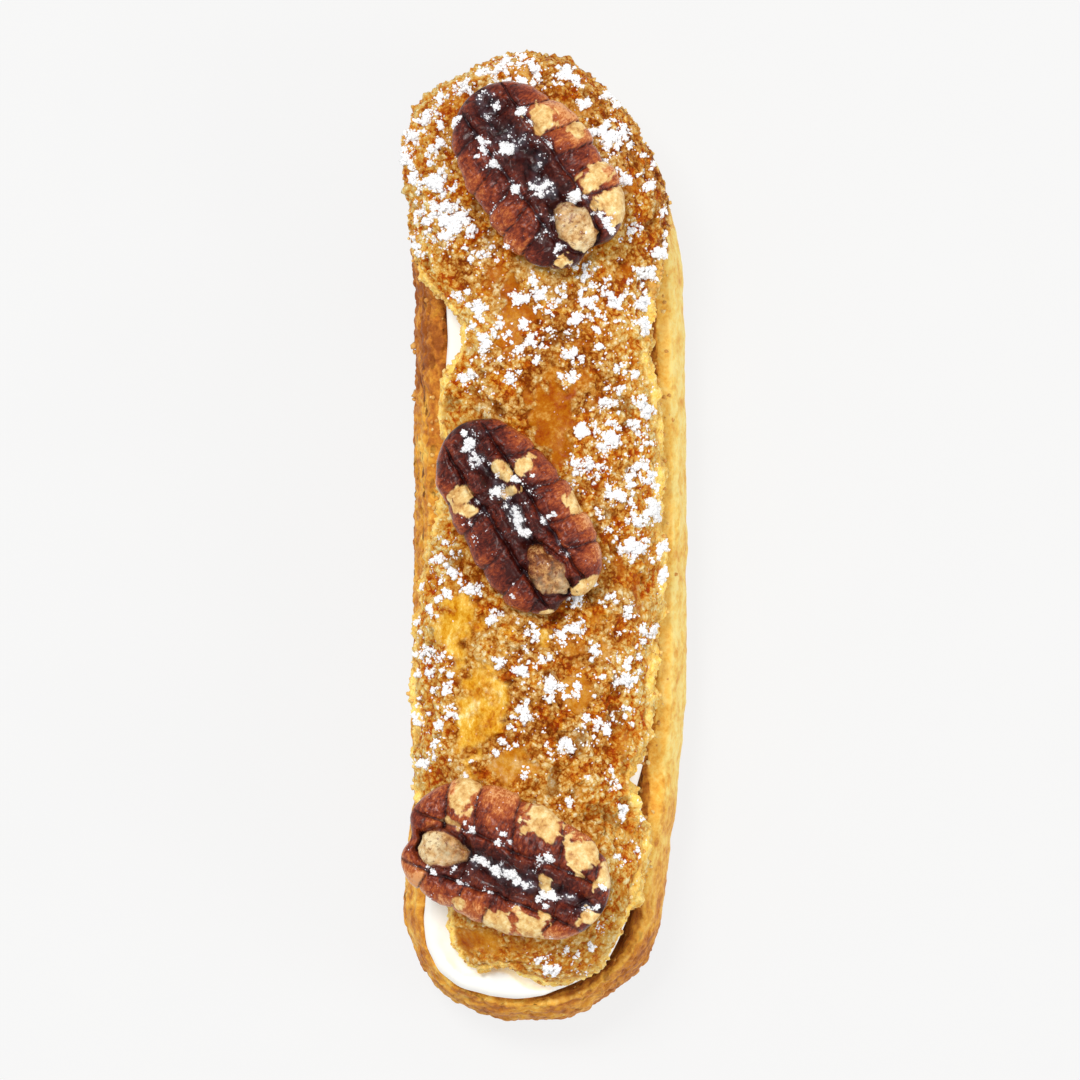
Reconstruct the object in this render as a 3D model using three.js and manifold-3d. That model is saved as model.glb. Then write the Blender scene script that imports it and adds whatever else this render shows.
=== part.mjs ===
// A split eclair: a choux boat, the cream piped along it, a torn craquelin lid and three pecan halves.
// Millimetres, +Z up, +Y along the eclair towards its head end, origin under the middle of its box.

import * as THREE from 'three';
import { ImprovedNoise } from 'three/addons/math/ImprovedNoise.js';
import { mergeVertices } from 'three/addons/utils/BufferGeometryUtils.js';
import Module from 'manifold-3d';

const wasm = await Module();
wasm.setup();
const { clamp, degToRad, lerp, smoothstep } = THREE.MathUtils;

// Driving dimensions
const GAP = 0.3; // clearance left between two pieces that touch
const MERGE = 1e-4; // vertices closer than this are one

// The boat: the lower part of the choux, cut above its widest level and hollowed.
const BASE = {
  head: 66,
  tail: -69.2,
  headRadius: 18.3,
  tailRadius: 18.6,
  belly: 1, // how much wider it is between its ends
  straightSteps: 26,
  arcSteps: 17,
  axisX: 0.7,
  headDrift: -3.2, // both ends bend to the left
  headDriftFrom: 25,
  headDriftTo: 66,
  tailDrift: -3.2,
  tailDriftFrom: -15,
  tailDriftTo: -65,
  height: 18.3,
  rimInset: 5, // widest outline to the inner edge of the cut rim, along the sides
  tailRimInset: 3.3, // the same at the tail end
  tailRimFrom: -36, // between these two places the one passes into the other
  tailRimTo: -62,
  floor: 5.5, // thickness under the hollow
  uneven: 0.3, // how far the sides stray from the outline
  unevenWave: 6,
};

// The cream: fills the hollow and swells between rim and lid.
const CREAM = {
  straightSteps: 20,
  arcSteps: 13,
  crown: 27,
  inset: 0.25, // how far inside the rim's inner edge the swelling stays on the right
  bulge: 1, // how much further out it stands on the left, where the lid is torn back
  turn: 6, // half the width over which one side passes into the other at the ends
  wave: 0.35,
  wavePitch: 11,
};

// The lid: the upper part of the choux with its baked crumble crust.
const LID = {
  head: 69,
  tail: -64.6,
  headRadius: 18.9,
  tailRadius: 16.6,
  belly: 0,
  straightSteps: 44,
  arcSteps: 27,
  axisX: -1.4,
  headDrift: -2.9, // the head end bends to the left
  headDriftFrom: 44,
  headDriftTo: 64,
  tailDrift: -0.4,
  tailDriftFrom: 0,
  tailDriftTo: -64,
  underside: 20.5,
  roll: 2.5, // degrees: it lies lower on the right
  edge: 3.2, // thickness of the torn edge
  hollow: 7, // how far its underside arches up
  hollowPower: 2.4, // the higher, the flatter the arch and the steeper its sides
  rise: 10.6, // edge to crown
  risePower: 2.3,
  riseRound: 0.62, // below 1 rounds the dome's shoulders out
  tornAt: 0.45, // height of the torn edge's foremost line between underside and dome
  tear: 0.6, // unevenness of the torn edge
  tearWaves: [3.1, 1.4],
  fineTear: 0.6, // share of it in the shorter waves
  crag: 0.9, // height of the crumble's crags
  cragWaves: [4.3, 2.1],
  fineCrag: 0.8,
};

// Where crumble has broken away along the lid's edge: place, depth and reach of each bite.
// A negative depth is a stretch that stands out.
const BITES = [
  { x: -19.9, y: 28.5, depth: 7.4, reach: 7.4 },
  { x: -19.6, y: 10.5, depth: 4.9, reach: 13.5 },
  { x: -17.5, y: -52, depth: 2.6, reach: 6 },
  { x: -6.8, y: -63.8, depth: 2.4, reach: 3.5 },
  { x: -10.5, y: 66.5, depth: 2.1, reach: 4.5 },
  { x: -21, y: 57, depth: 0.7, reach: 6 },
  { x: -19.3, y: -24, depth: -0.6, reach: 12 },
  { x: 17.2, y: 28, depth: 2.3, reach: 9 },
  { x: 16.2, y: -6, depth: -1.4, reach: 6 },
  { x: 15.4, y: -34.2, depth: 3.4, reach: 5 },
  { x: 14.8, y: -52, depth: 1.3, reach: 5 },
  { x: 12.2, y: -56.5, depth: 1.6, reach: 4 },
];

// Smooth places on the lid where the crumble is gone: centre and half sizes.
const BALD_PATCHES = [
  { x: -4.4, y: 30, across: 2.8, along: 5.5 },
  { x: 0.8, y: 17, across: 3.4, along: 6.5 },
  { x: -9.7, y: -20, across: 4.2, along: 10.5 },
  { x: -4.6, y: -32.5, across: 3.6, along: 3 },
  { x: 4.1, y: -22, across: 2.2, along: 3 },
  { x: -9, y: -57.5, across: 4.5, along: 2.4 },
];
const BALD = {
  depth: 0.6,
  smoothness: 0.85, // share of the crags that is lost there
  inner: 0.7, // shares of the half sizes between which a patch runs out
  outer: 1.15,
};

// The pecan halves lie on their round backs. Heading 0 points the germ end at the tail of the eclair.
const PECAN = {
  aroundSteps: 29,
  faceSteps: 20, // of them over the face
  alongSteps: 29,
  gather: 0.35, // how much the steps close up towards the outline
  back: 4.2, // depth of the round back below the kernel's middle
  face: 3.6, // height of the face's lobes above it
  sink: 2.1, // how deep the back settles into the crust
  fullness: 2.6, // exponent of the outline: 2 is an ellipse
  germFullness: 4, // the same for the blunter germ end
  endRise: 0.7, // how steeply the face rises from the ends, below 1 the steeper
  sideRise: 3, // exponent of the face's section: 2 is round, more is flatter on top
  channel: 0.58, // depth of the middle channel as a share of the face
  groove: 0.3, // depth of the groove at each side of the channel
  grooveAt: 0.38,
  grooveWidth: 0.1,
  grooveEnd: 0.75,
  grooveFade: 0.3,
  crease: 0.34, // depth of the cross creases of the outer lobes
  creaseWidth: 0.065,
  creaseSlant: 0.16,
  creaseRoot: 0.6, // the slant turns about this place
  lobeFrom: 0.4, // across, the creases deepen between these two places
  lobeTo: 0.7,
  scallop: 0.09, // how far a crease nips the outline
  knob: 0.14, // unevenness of the lobes
  knobWave: 3.4,
  germLength: 0.3, // the pale germ near one end of the channel
  germWidth: 0.33,
  germHeight: 0.7,
  germBlunt: 4, // exponent of its profile: 2 is round, more is flatter on top
};
// Places on the lid, sizes, turns (pitch, roll and heading in degrees), how far aside the channel lies, where
// the germ sits, how wide the channel is, and where the left and right lobes are creased, as shares of the
// half width and half length.
const PECANS = [
  {
    name: 'pecan_head',
    x: -1.5,
    y: 51,
    length: 28.8,
    width: 18.6,
    turn: [-6, 3, 36],
    middle: 0,
    germ: { across: 0, along: -0.7 },
    channelWidth: 0.2,
    creases: { left: [0.62, 0.27, 0, -0.25, -0.52, -0.8], right: [0.55, 0.23, -0.03, -0.24, -0.55] },
  },
  {
    name: 'pecan_middle',
    x: -4.2,
    y: 2.9,
    length: 30,
    width: 17,
    turn: [1, -5, 33],
    middle: 0,
    germ: { across: -0.05, along: -0.62 },
    channelWidth: 0.13,
    creases: { left: [0.5, 0.2, -0.2, -0.52, -0.8], right: [0.78, 0.5, 0.12, -0.25, -0.57] },
  },
  {
    name: 'pecan_tail',
    x: -5.6,
    y: -46,
    length: 30.8,
    width: 18.6,
    turn: [9, 3, -111],
    middle: 0.14,
    germ: { across: 0.16, along: -0.72 },
    channelWidth: 0.17,
    creases: { left: [0.8, 0.46, -0.02, -0.42, -0.7], right: [0.62, 0.04, -0.26, -0.64] },
  },
];

// Colours and finishes
const CHOUX = new THREE.MeshStandardMaterial({ color: 0xd9a04c, roughness: 0.75, metalness: 0 });
const CRUMBLE = new THREE.MeshStandardMaterial({ color: 0xbf7f35, roughness: 0.85, metalness: 0 });
const WHITE = new THREE.MeshStandardMaterial({ color: 0xfbf7ea, roughness: 0.4, metalness: 0 });
const KERNEL = new THREE.MeshStandardMaterial({ color: 0x6a3020, roughness: 0.35, metalness: 0 });

const perlin = new ImprovedNoise();

// Smooth noise from about -1 to 1, with waves of the given length.
function noise(point, wave, layer = 0) {
  return perlin.noise(point.x / wave, point.y / wave, layer + 0.5);
}

// Outlines

// Walks round a stadium whose two ends may differ in radius, head first on the right-hand side.
// Each place has a point on the spine, one on the whole outline and one on the rim as it is shaped.
// Both sides share their spine points.
function outline(size, shape) {
  const { head, tail, headRadius, tailRadius, belly, straightSteps, arcSteps } = size;
  const spineHead = head - headRadius;
  const spineTail = tail + tailRadius;
  const places = [];
  const add = (share, angle) => {
    const out = new THREE.Vector2(Math.cos(angle), Math.sin(angle));
    const y = lerp(spineTail, spineHead, share);
    const radius = lerp(tailRadius, headRadius, share) + belly * (1 - (2 * share - 1) ** 4);
    const straight = new THREE.Vector2(0, y).addScaledVector(out, radius);
    const whole = new THREE.Vector2(axis(size, straight.y) + straight.x, straight.y);
    places.push({ spine: new THREE.Vector2(axis(size, y), y), whole, rim: shape(whole, out), out });
  };
  for (let i = 0; i <= straightSteps; i++) add(i / straightSteps, 0);
  for (let j = 1; j < arcSteps; j++) add(1, (Math.PI * j) / arcSteps);
  for (let i = straightSteps; i >= 0; i--) add(i / straightSteps, Math.PI);
  for (let j = 1; j < arcSteps; j++) add(0, Math.PI + (Math.PI * j) / arcSteps);
  return places;
}

// Where the middle line of the boat or the lid runs: straight, with its ends bent aside.
function axis(size, y) {
  const head = size.headDrift * smoothstep(y, size.headDriftFrom, size.headDriftTo);
  const tail = size.tailDrift * smoothstep(-y, -size.tailDriftFrom, -size.tailDriftTo);
  return size.axisX + head + tail;
}

// A rim point of the lid pulled in by the bites and made uneven by the tearing.
function tornRim(rim, out) {
  let pull = 0;
  for (const bite of BITES) {
    const away = Math.hypot(rim.x - bite.x, rim.y - bite.y) / bite.reach;
    pull += bite.depth * Math.exp(-away * away);
  }
  const rough = noise(rim, LID.tearWaves[0], 3) + LID.fineTear * noise(rim, LID.tearWaves[1], 7);
  return rim.clone().addScaledVector(out, LID.tear * rough - pull);
}

function rimInset(y) {
  return lerp(BASE.tailRimInset, BASE.rimInset, smoothstep(y, BASE.tailRimTo, BASE.tailRimFrom));
}

// Solids

// A closed surface through rings of equal count, whose first and last rings lie folded on the spine.
function loft(rings) {
  const count = rings[0].length;
  const positions = rings.flat().flatMap((point) => point.toArray());
  const index = [];
  for (let k = 0; k + 1 < rings.length; k++) {
    for (let i = 0; i < count; i++) {
      const a = k * count + i;
      const b = k * count + ((i + 1) % count);
      index.push(a, b, b + count, a, b + count, a + count);
    }
  }
  const geometry = new THREE.BufferGeometry();
  geometry.setAttribute('position', new THREE.Float32BufferAttribute(positions, 3));
  geometry.setIndex(index);
  return solid(geometry);
}

// A geometry as a solid: equal vertices merged, collapsed triangles dropped.
function solid(geometry) {
  const bare = new THREE.BufferGeometry();
  bare.setAttribute('position', geometry.getAttribute('position'));
  bare.setIndex(geometry.getIndex());
  const merged = mergeVertices(bare, MERGE);
  const all = merged.getIndex().array;
  const kept = [];
  for (let i = 0; i < all.length; i += 3) {
    const [a, b, c] = [all[i], all[i + 1], all[i + 2]];
    if (a !== b && b !== c && a !== c) kept.push(a, b, c);
  }
  return new wasm.Manifold(
    new wasm.Mesh({
      numProp: 3,
      vertProperties: merged.getAttribute('position').array,
      triVerts: new Uint32Array(kept),
    }),
  );
}

// The largest body that a cut leaves.
function largest(cut) {
  return cut.decompose().reduce((best, body) => (body.volume() > best.volume() ? body : best));
}

function mesh(name, body, material) {
  const { vertProperties, triVerts } = body.getMesh();
  const geometry = new THREE.BufferGeometry();
  geometry.setAttribute('position', new THREE.BufferAttribute(vertProperties, 3));
  geometry.setIndex(new THREE.BufferAttribute(triVerts, 1));
  geometry.computeVertexNormals();
  const made = new THREE.Mesh(geometry, material);
  made.name = name;
  return made;
}

// A ring at a distance in from the rim, or on the spine where inset is null.
function insetRing(places, inset, z) {
  return places.map(({ spine, rim }) => {
    const reach = rim.distanceTo(spine);
    const share = inset === null ? 0 : Math.max(0, 1 - inset(rim) / reach);
    const flat = spine.clone().lerp(rim, share);
    return new THREE.Vector3(flat.x, flat.y, z);
  });
}

// Choux boat: up the outside, over the cut rim, down into the hollow.
function base() {
  const stray = (rim) => BASE.uneven * noise(rim, BASE.unevenWave, 1);
  const uneven = (rim, out) => rim.clone().addScaledVector(out, stray(rim));
  const places = outline(BASE, uneven);
  const fixed = (inset) => () => inset;
  const inner = (more) => (rim) => rimInset(rim.y) + more;
  const profile = [
    [null, 0],
    [fixed(6.5), 0],
    [fixed(3.4), 0.7],
    [fixed(1.2), 3.2],
    [fixed(0.15), 6.6],
    [fixed(0), 9.6],
    [fixed(0.5), 12.6],
    [fixed(1.3), 15.6],
    [fixed(2.2), BASE.height - 0.7],
    [inner(-0.9), BASE.height],
    [inner(0), BASE.height - 0.8],
    [inner(0.5), BASE.height - 5],
    [inner(1.6), BASE.floor + 3],
    [inner(4), BASE.floor],
    [null, BASE.floor],
  ];
  return loft(profile.map(([inset, z]) => insetRing(places, inset, z)));
}

// Cream: one piped rope that fills the hollow and is pressed to the lid's underside.
function cream(lidRoom) {
  const wavy = (rim, out) => {
    const wave = CREAM.wave * Math.sin((2 * Math.PI * rim.y) / CREAM.wavePitch);
    return rim.clone().addScaledVector(out, wave * Math.abs(out.x) - CREAM.wave);
  };
  const { straightSteps, arcSteps } = CREAM;
  const places = outline({ ...BASE, straightSteps, arcSteps }, wavy);
  const inner = (more) => (rim) => rimInset(rim.y) + more;
  const leftness = (rim) => smoothstep(axis(BASE, rim.y) - rim.x, -CREAM.turn, CREAM.turn);
  const swelling = (more) => (rim) => rimInset(rim.y) + more - CREAM.bulge * leftness(rim);
  const rimTop = BASE.height;
  const profile = [
    [null, BASE.floor + GAP],
    [inner(4.6), BASE.floor + GAP],
    [inner(2.4), BASE.floor + 3 + GAP],
    [inner(1.1), rimTop - 5],
    [inner(0.6), rimTop - 0.4],
    [swelling(CREAM.inset), rimTop + 0.7],
    [swelling(CREAM.inset), rimTop + 2.2],
    [swelling(0.8), rimTop + 4],
    [inner(3.2), rimTop + 6],
    [inner(7), CREAM.crown - 0.8],
    [null, CREAM.crown],
  ];
  const raw = loft(profile.map(([inset, z]) => insetRing(places, inset, z)));
  return largest(raw.subtract(lidRoom));
}

// How bald the lid is at a place: 1 in the middle of a smooth patch, 0 where the crumble is whole.
function baldness(point) {
  let most = 0;
  for (const patch of BALD_PATCHES) {
    const away = Math.hypot((point.x - patch.x) / patch.across, (point.y - patch.y) / patch.along);
    most = Math.max(most, 1 - smoothstep(away, BALD.inner, BALD.outer));
  }
  return most;
}

// Height that the crumble's crags add to the lid's dome.
function crags(point) {
  const rough = noise(point, LID.cragWaves[0], 11) + LID.fineCrag * noise(point, LID.cragWaves[1], 17);
  const bald = baldness(point);
  return LID.crag * rough * (1 - BALD.smoothness * bald) - BALD.depth * bald;
}

// Heights of the lid's two faces over its seat, at a share of the way from the spine to the whole outline.
const lidUnder = (share) => LID.hollow * (1 - share ** LID.hollowPower);
const lidDome = (share) => LID.edge + LID.rise * (1 - share ** LID.risePower) ** LID.riseRound;

// Lid: an arched underside and a craggy dome, broken off at the torn rim and laid over by the roll.
// Grown by a clearance, it is the room that its neighbours keep free.
function lid(grow = 0) {
  const places = outline(LID, tornRim);
  const slope = Math.tan(degToRad(LID.roll));
  const ring = (share, height) =>
    places.map(({ spine, whole, rim, out }) => {
      const flat = spine.clone().lerp(rim, share);
      const reach = Math.min(1, flat.distanceTo(spine) / whole.distanceTo(spine));
      const z = LID.underside - slope * flat.x + height(reach, flat);
      flat.addScaledVector(out, grow * share);
      return new THREE.Vector3(flat.x, flat.y, z);
    });
  const under = [0, 0.4, 0.72, 0.98].map((share) => ring(share, (reach) => lidUnder(reach) - grow));
  const tornFace = ring(1, (reach) => lerp(lidUnder(reach), lidDome(reach), LID.tornAt));
  const over = [0.985, 0.93, 0.85, 0.75, 0.62, 0.48, 0.33, 0.17, 0].map((share) =>
    ring(share, (reach, flat) => lidDome(reach) + crags(flat) + grow),
  );
  return loft([...under, tornFace, ...over]);
}

// Pecans

// Share of the face's height that stands at a place, given in half lengths along and half widths across.
function kernelFace(along, across, spec) {
  const out = Math.abs(across);
  const fromMiddle = Math.abs(across - spec.middle);
  const dip = (away, width) => Math.exp(-((away / width) ** 2));
  const midway = smoothstep(PECAN.grooveEnd - Math.abs(along), 0, PECAN.grooveFade);
  let depth = PECAN.channel * dip(fromMiddle, spec.channelWidth);
  depth += PECAN.groove * dip(fromMiddle - PECAN.grooveAt, PECAN.grooveWidth) * midway;
  depth += PECAN.crease * creasing(along, across, spec) * smoothstep(out, PECAN.lobeFrom, PECAN.lobeTo);
  const { germLength, germWidth, germHeight, germBlunt } = PECAN;
  const { germ } = spec;
  const away = Math.hypot((along - germ.along) / germLength, (across - germ.across) / germWidth);
  const nub = away < 1 ? 1 - PECAN.channel + germHeight * Math.sqrt(1 - away ** germBlunt) : 0;
  return Math.max(1 - depth, nub);
}

// 1 on a cross crease of an outer lobe, 0 between creases.
function creasing(along, across, { creases }) {
  const { creaseRoot, creaseSlant, creaseWidth } = PECAN;
  const slanted = along + creaseSlant * (Math.abs(across) - creaseRoot);
  const places = across < 0 ? creases.left : creases.right;
  return Math.max(...places.map((at) => Math.exp(-(((slanted - at) / creaseWidth) ** 2))));
}

// Even steps from -1 to 1 drawn together towards both ends.
const gathered = (step) => step * (1 + PECAN.gather * (1 - step * step));

// A kernel at the origin, its length along Y with the germ end at -Y and its face up.
// The rings of a sphere are reshaped, with more of their steps on the face than on the back.
function kernel(spec) {
  const { length, width } = spec;
  const geometry = new THREE.SphereGeometry(1, PECAN.aroundSteps, PECAN.alongSteps);
  const position = geometry.getAttribute('position');
  const uv = geometry.getAttribute('uv');
  const backSteps = PECAN.aroundSteps - PECAN.faceSteps;
  for (let i = 0; i < position.count; i++) {
    const along = clamp(gathered(2 * uv.getY(i) - 1), -1, 1);
    const step = Math.round(uv.getX(i) * PECAN.aroundSteps);
    const onFace = step <= PECAN.faceSteps;
    const backAngle = (Math.PI * (step - PECAN.faceSteps)) / backSteps;
    const across = onFace ? gathered((2 * step) / PECAN.faceSteps - 1) : Math.cos(backAngle);
    const fullness = along < 0 ? PECAN.germFullness : PECAN.fullness;
    const full = Math.sqrt(1 - Math.abs(along) ** fullness);
    const nip = 1 - PECAN.scallop * creasing(along, across, spec) * Math.abs(across);
    const x = (width / 2) * full * across * nip;
    const y = (length / 2) * along;
    const knob = PECAN.knob * noise({ x, y }, PECAN.knobWave, length);
    const section = Math.sqrt(Math.max(0, 1 - Math.abs(across) ** PECAN.sideRise));
    const lobes = PECAN.face * full ** PECAN.endRise * section;
    const back = -PECAN.back * full * Math.sin(backAngle);
    position.setXYZ(i, x, y, onFace ? lobes * (kernelFace(along, across * full, spec) + knob) : back);
  }
  return solid(geometry);
}

// A pecan set on the lid at its place, with its back cut to the crust.
function pecan(spec, lidRoom, lidMesh) {
  const above = new THREE.Vector3(spec.x, spec.y, 2 * LID.underside + LID.rise);
  const [seat] = new THREE.Raycaster(above, new THREE.Vector3(0, 0, -1)).intersectObject(lidMesh);
  const place = new THREE.Object3D();
  place.position.set(spec.x, spec.y, seat.point.z + PECAN.back - PECAN.sink);
  place.rotation.set(...spec.turn.map(degToRad), 'ZYX');
  place.updateMatrix();
  const crust = lidRoom.transform(place.matrix.clone().invert().toArray());
  const made = mesh(spec.name, largest(kernel(spec).subtract(crust)), KERNEL);
  made.position.copy(place.position);
  made.rotation.copy(place.rotation);
  return made;
}

// Assembly
const lidMesh = mesh('lid', lid(), CRUMBLE);
const lidRoom = lid(GAP);
const eclair = new THREE.Group();
eclair.add(mesh('base', base(), CHOUX));
eclair.add(mesh('cream', cream(lidRoom), WHITE));
eclair.add(lidMesh);
for (const spec of PECANS) eclair.add(pecan(spec, lidRoom, lidMesh));

// The origin goes under the middle of the box.
const box = new THREE.Box3().setFromObject(eclair, true);
const middle = box.getCenter(new THREE.Vector3());
eclair.position.set(-middle.x, -middle.y, -box.min.z);

export default eclair;
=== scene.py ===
"""Looks of the split eclair: choux, cream, crumble crust, pecans, sugar and crumbs, round its frame."""
import math
from itertools import combinations, product

import bpy
import numpy as np
from mathutils import Euler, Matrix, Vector
from mathutils.bvhtree import BVHTree


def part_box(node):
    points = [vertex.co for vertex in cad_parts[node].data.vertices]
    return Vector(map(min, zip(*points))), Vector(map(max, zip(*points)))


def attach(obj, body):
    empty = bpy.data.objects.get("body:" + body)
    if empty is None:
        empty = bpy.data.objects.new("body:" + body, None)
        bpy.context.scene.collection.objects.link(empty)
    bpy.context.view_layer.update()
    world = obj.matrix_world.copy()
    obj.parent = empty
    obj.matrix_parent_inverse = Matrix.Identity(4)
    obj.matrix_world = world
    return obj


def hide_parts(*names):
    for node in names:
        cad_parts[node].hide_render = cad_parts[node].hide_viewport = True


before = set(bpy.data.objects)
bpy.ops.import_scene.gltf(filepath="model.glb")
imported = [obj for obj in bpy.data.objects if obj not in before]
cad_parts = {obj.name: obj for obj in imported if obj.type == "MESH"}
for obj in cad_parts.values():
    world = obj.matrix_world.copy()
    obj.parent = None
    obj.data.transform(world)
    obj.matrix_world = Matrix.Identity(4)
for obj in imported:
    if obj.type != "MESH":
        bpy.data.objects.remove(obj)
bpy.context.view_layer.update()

# Lengths in this script are millimetres until a mesh is written.
MM = 0.001
# The part's own drawing is moved by this much to bring the origin under the middle of its box.
SHIFT = np.array([0.287, 0.115])
BODY = "root"

# Numbers and noise


def ramp(value, low, high):
    """0 below low, 1 above high and a smooth step between them."""
    share = np.clip((value - low) / (high - low), 0, 1)
    return share * share * (3 - 2 * share)


def lerp(low, high, share):
    return low + (high - low) * share


def dip(away, width):
    """1 at no distance, falling to nothing like a bell."""
    return np.exp(-((away / width) ** 2))


def lattice(cell, seed):
    """Repeatable numbers from 0 to 1 for whole-number places."""
    x, y, z = (cell[..., k].astype(np.uint32) for k in range(3))
    mixed = x * np.uint32(374761393) + y * np.uint32(668265263) + z * np.uint32(2246822519)
    mixed = mixed + np.uint32((seed * 974634777) & 0xFFFFFFFF)
    mixed = (mixed ^ (mixed >> np.uint32(13))) * np.uint32(1274126177)
    mixed = mixed ^ (mixed >> np.uint32(16))
    return mixed.astype(np.float64) / 0xFFFFFFFF


CORNERS = np.array(list(product((0, 1), repeat=3)))
NEIGHBOURS = np.array(list(product((-1, 0, 1), repeat=3)))
# Noise is worked out on a tilted grid, so that its rows don't line up with the eclair.
TILT = np.array(Euler((0.5, 0.7, 0.3)).to_matrix())
# Scattered spots keep this far from the sides of their cell.
SPOT_MARGIN = 0.08
# A heaped grain's radius as a share of its cell, and the height of the lowest.
GRAIN_REACH = 0.8
GRAIN_LEAST = 0.3
# Places further out than this, in sizes of a patch or flake, count as out of reach.
OUT_OF_REACH = -9.0


def noise(points, wave, seed=0):
    """Smooth noise from -1 to 1 with lumps of about the given size."""
    place = points @ TILT / wave
    cell = np.floor(place).astype(np.int64)
    step = place - cell
    step = step * step * (3 - 2 * step)
    total = np.zeros(len(points))
    for corner in CORNERS:
        weight = np.prod(np.where(corner, step, 1 - step), axis=1)
        total += weight * lattice(cell + corner, seed)
    return 2 * total - 1


def layered(points, wave, seed=0, layers=3, gain=0.5):
    """Noise of several sizes, each half as large as the one before and weaker by the gain."""
    total = sum(noise(points, wave / 2**k, seed + k) * gain**k for k in range(layers))
    return total / sum(gain**k for k in range(layers))


def summed(points, seed, *layers):
    """Noise of the given strengths and sizes, added up."""
    return sum(strength * noise(points, wave, seed + k) for k, (strength, wave) in enumerate(layers))


def cells(points, wave, seed=0):
    """The nearest of scattered spots: how far it is, in waves, and a number of its own."""
    place = points / wave
    home = np.floor(place).astype(np.int64)
    near = np.full(len(points), np.inf)
    own = np.zeros(len(points))
    for step in NEIGHBOURS:
        cell = home + step
        spot = np.stack([lattice(cell, seed + k) for k in (1, 2, 3)], axis=1)
        away = np.linalg.norm(place - (cell + lerp(SPOT_MARGIN, 1 - SPOT_MARGIN, spot)), axis=1)
        closer = away < near
        own = np.where(closer, lattice(cell, seed + 4), own)
        near = np.where(closer, away, near)
    return near, own


def grains(points, wave, seed):
    """The height from 0 to 1 of heaped round grains of about the given size."""
    near, own = cells(points, wave, seed)
    return np.sqrt(np.maximum(0, 1 - (near / GRAIN_REACH) ** 2)) * lerp(GRAIN_LEAST, 1, own)


def warp(points, wave, reach, seed):
    """Points pushed about, so that what is drawn with them is less even."""
    return points + reach * np.stack([noise(points, wave, seed + k) for k in range(3)], axis=1)


def oval(points, x, y, across=1, along=1):
    """How far each point lies from a place, in half sizes."""
    return np.hypot((points[:, 0] - x) / across, (points[:, 1] - y) / along)


# Meshes


def rows_of(source, key):
    flat = np.empty(len(source) * 3, np.float32)
    source.foreach_get(key, flat)
    return flat.reshape(-1, 3).astype(float)


def points_of(mesh):
    return rows_of(mesh.vertices, "co") / MM


def normals_of(mesh):
    return rows_of(mesh.vertex_normals, "vector")


def set_points(mesh, points):
    mesh.vertices.foreach_set("co", (points * MM).astype(np.float32).ravel())
    mesh.update()


def set_numbers(mesh, **numbers):
    """Keeps numbers, or rows of three, at a mesh's points for its material."""
    for name, values in numbers.items():
        values = np.asarray(values, np.float32)
        kind, key = ("FLOAT", "value") if values.ndim == 1 else ("FLOAT_VECTOR", "vector")
        layer = mesh.attributes.new(name, kind, "POINT")
        layer.data.foreach_set(key, values.ravel())


def applied(mesh, *modifiers):
    """The mesh with modifiers carried out: each is its type and its settings."""
    work = bpy.data.objects.new("work", mesh)
    bpy.context.collection.objects.link(work)
    for kind, settings in modifiers:
        modifier = work.modifiers.new(kind.lower(), kind)
        for key, value in settings.items():
            setattr(modifier, key, value)
    graph = bpy.context.evaluated_depsgraph_get()
    made = bpy.data.meshes.new_from_object(work.evaluated_get(graph))
    bpy.data.objects.remove(work)
    return made


def remeshed(node, voxel, rounds):
    """An even fine mesh of a node's form, its facets smoothed away."""
    even = ("REMESH", {"mode": "VOXEL", "voxel_size": voxel * MM})
    soft = ("SMOOTH", {"factor": 0.5, "iterations": rounds})
    return applied(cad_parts[node].data.copy(), even, soft)


def thinned(mesh, most):
    """The mesh with its flattest places simplified until it has at most so many triangles."""
    triangles = sum(len(face.vertices) - 2 for face in mesh.polygons)
    if triangles <= most:
        return mesh
    return applied(mesh, ("DECIMATE", {"ratio": most / triangles}))


def joined(parts):
    """One mesh of many: each part is its corners and triangles."""
    corners, faces, count = [], [], 0
    for part_corners, part_faces in parts:
        corners.append(part_corners)
        faces.append(part_faces + count)
        count += len(part_corners)
    mesh = bpy.data.meshes.new("joined")
    mesh.from_pydata((np.concatenate(corners) * MM).tolist(), [], np.concatenate(faces).tolist())
    return mesh


def piece(name, mesh, material):
    mesh.name = name
    mesh.materials.clear()
    mesh.materials.append(material)
    mesh.shade_smooth()
    made = bpy.data.objects.new(name, mesh)
    bpy.context.collection.objects.link(made)
    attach(made, BODY)
    return made


def tree_of(mesh):
    """For rays onto a mesh, in millimetres."""
    corners = [Vector(p) for p in points_of(mesh)]
    return BVHTree.FromPolygons(corners, [tuple(face.vertices) for face in mesh.polygons])


DOWN = Vector((0, 0, -1))
# Above the part, and beyond its sides.
SKY = 60


def drop(tree, x, y):
    """Where something let fall at a place lands: point and normal, or None twice."""
    place, normal, _, _ = tree.ray_cast(Vector((x, y, SKY)), DOWN)
    return place, normal


# Camera and light

PIXEL_MM = 0.142
PHOTO_MM = PIXEL_MM * 1080
PHOTO_MIDDLE = np.array([-0.852, -0.568]) + SHIFT
PHOTO_LEVEL = 22
LENS = 400
SENSOR = 36


def place_camera():
    data = bpy.data.cameras.new("camera")
    data.lens = LENS
    data.sensor_width = SENSOR
    camera = bpy.data.objects.new("camera", data)
    bpy.context.collection.objects.link(camera)
    away = PHOTO_MM * LENS / SENSOR
    camera.location = Vector((*PHOTO_MIDDLE, PHOTO_LEVEL + away)) * MM
    bpy.context.scene.camera = camera


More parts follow.
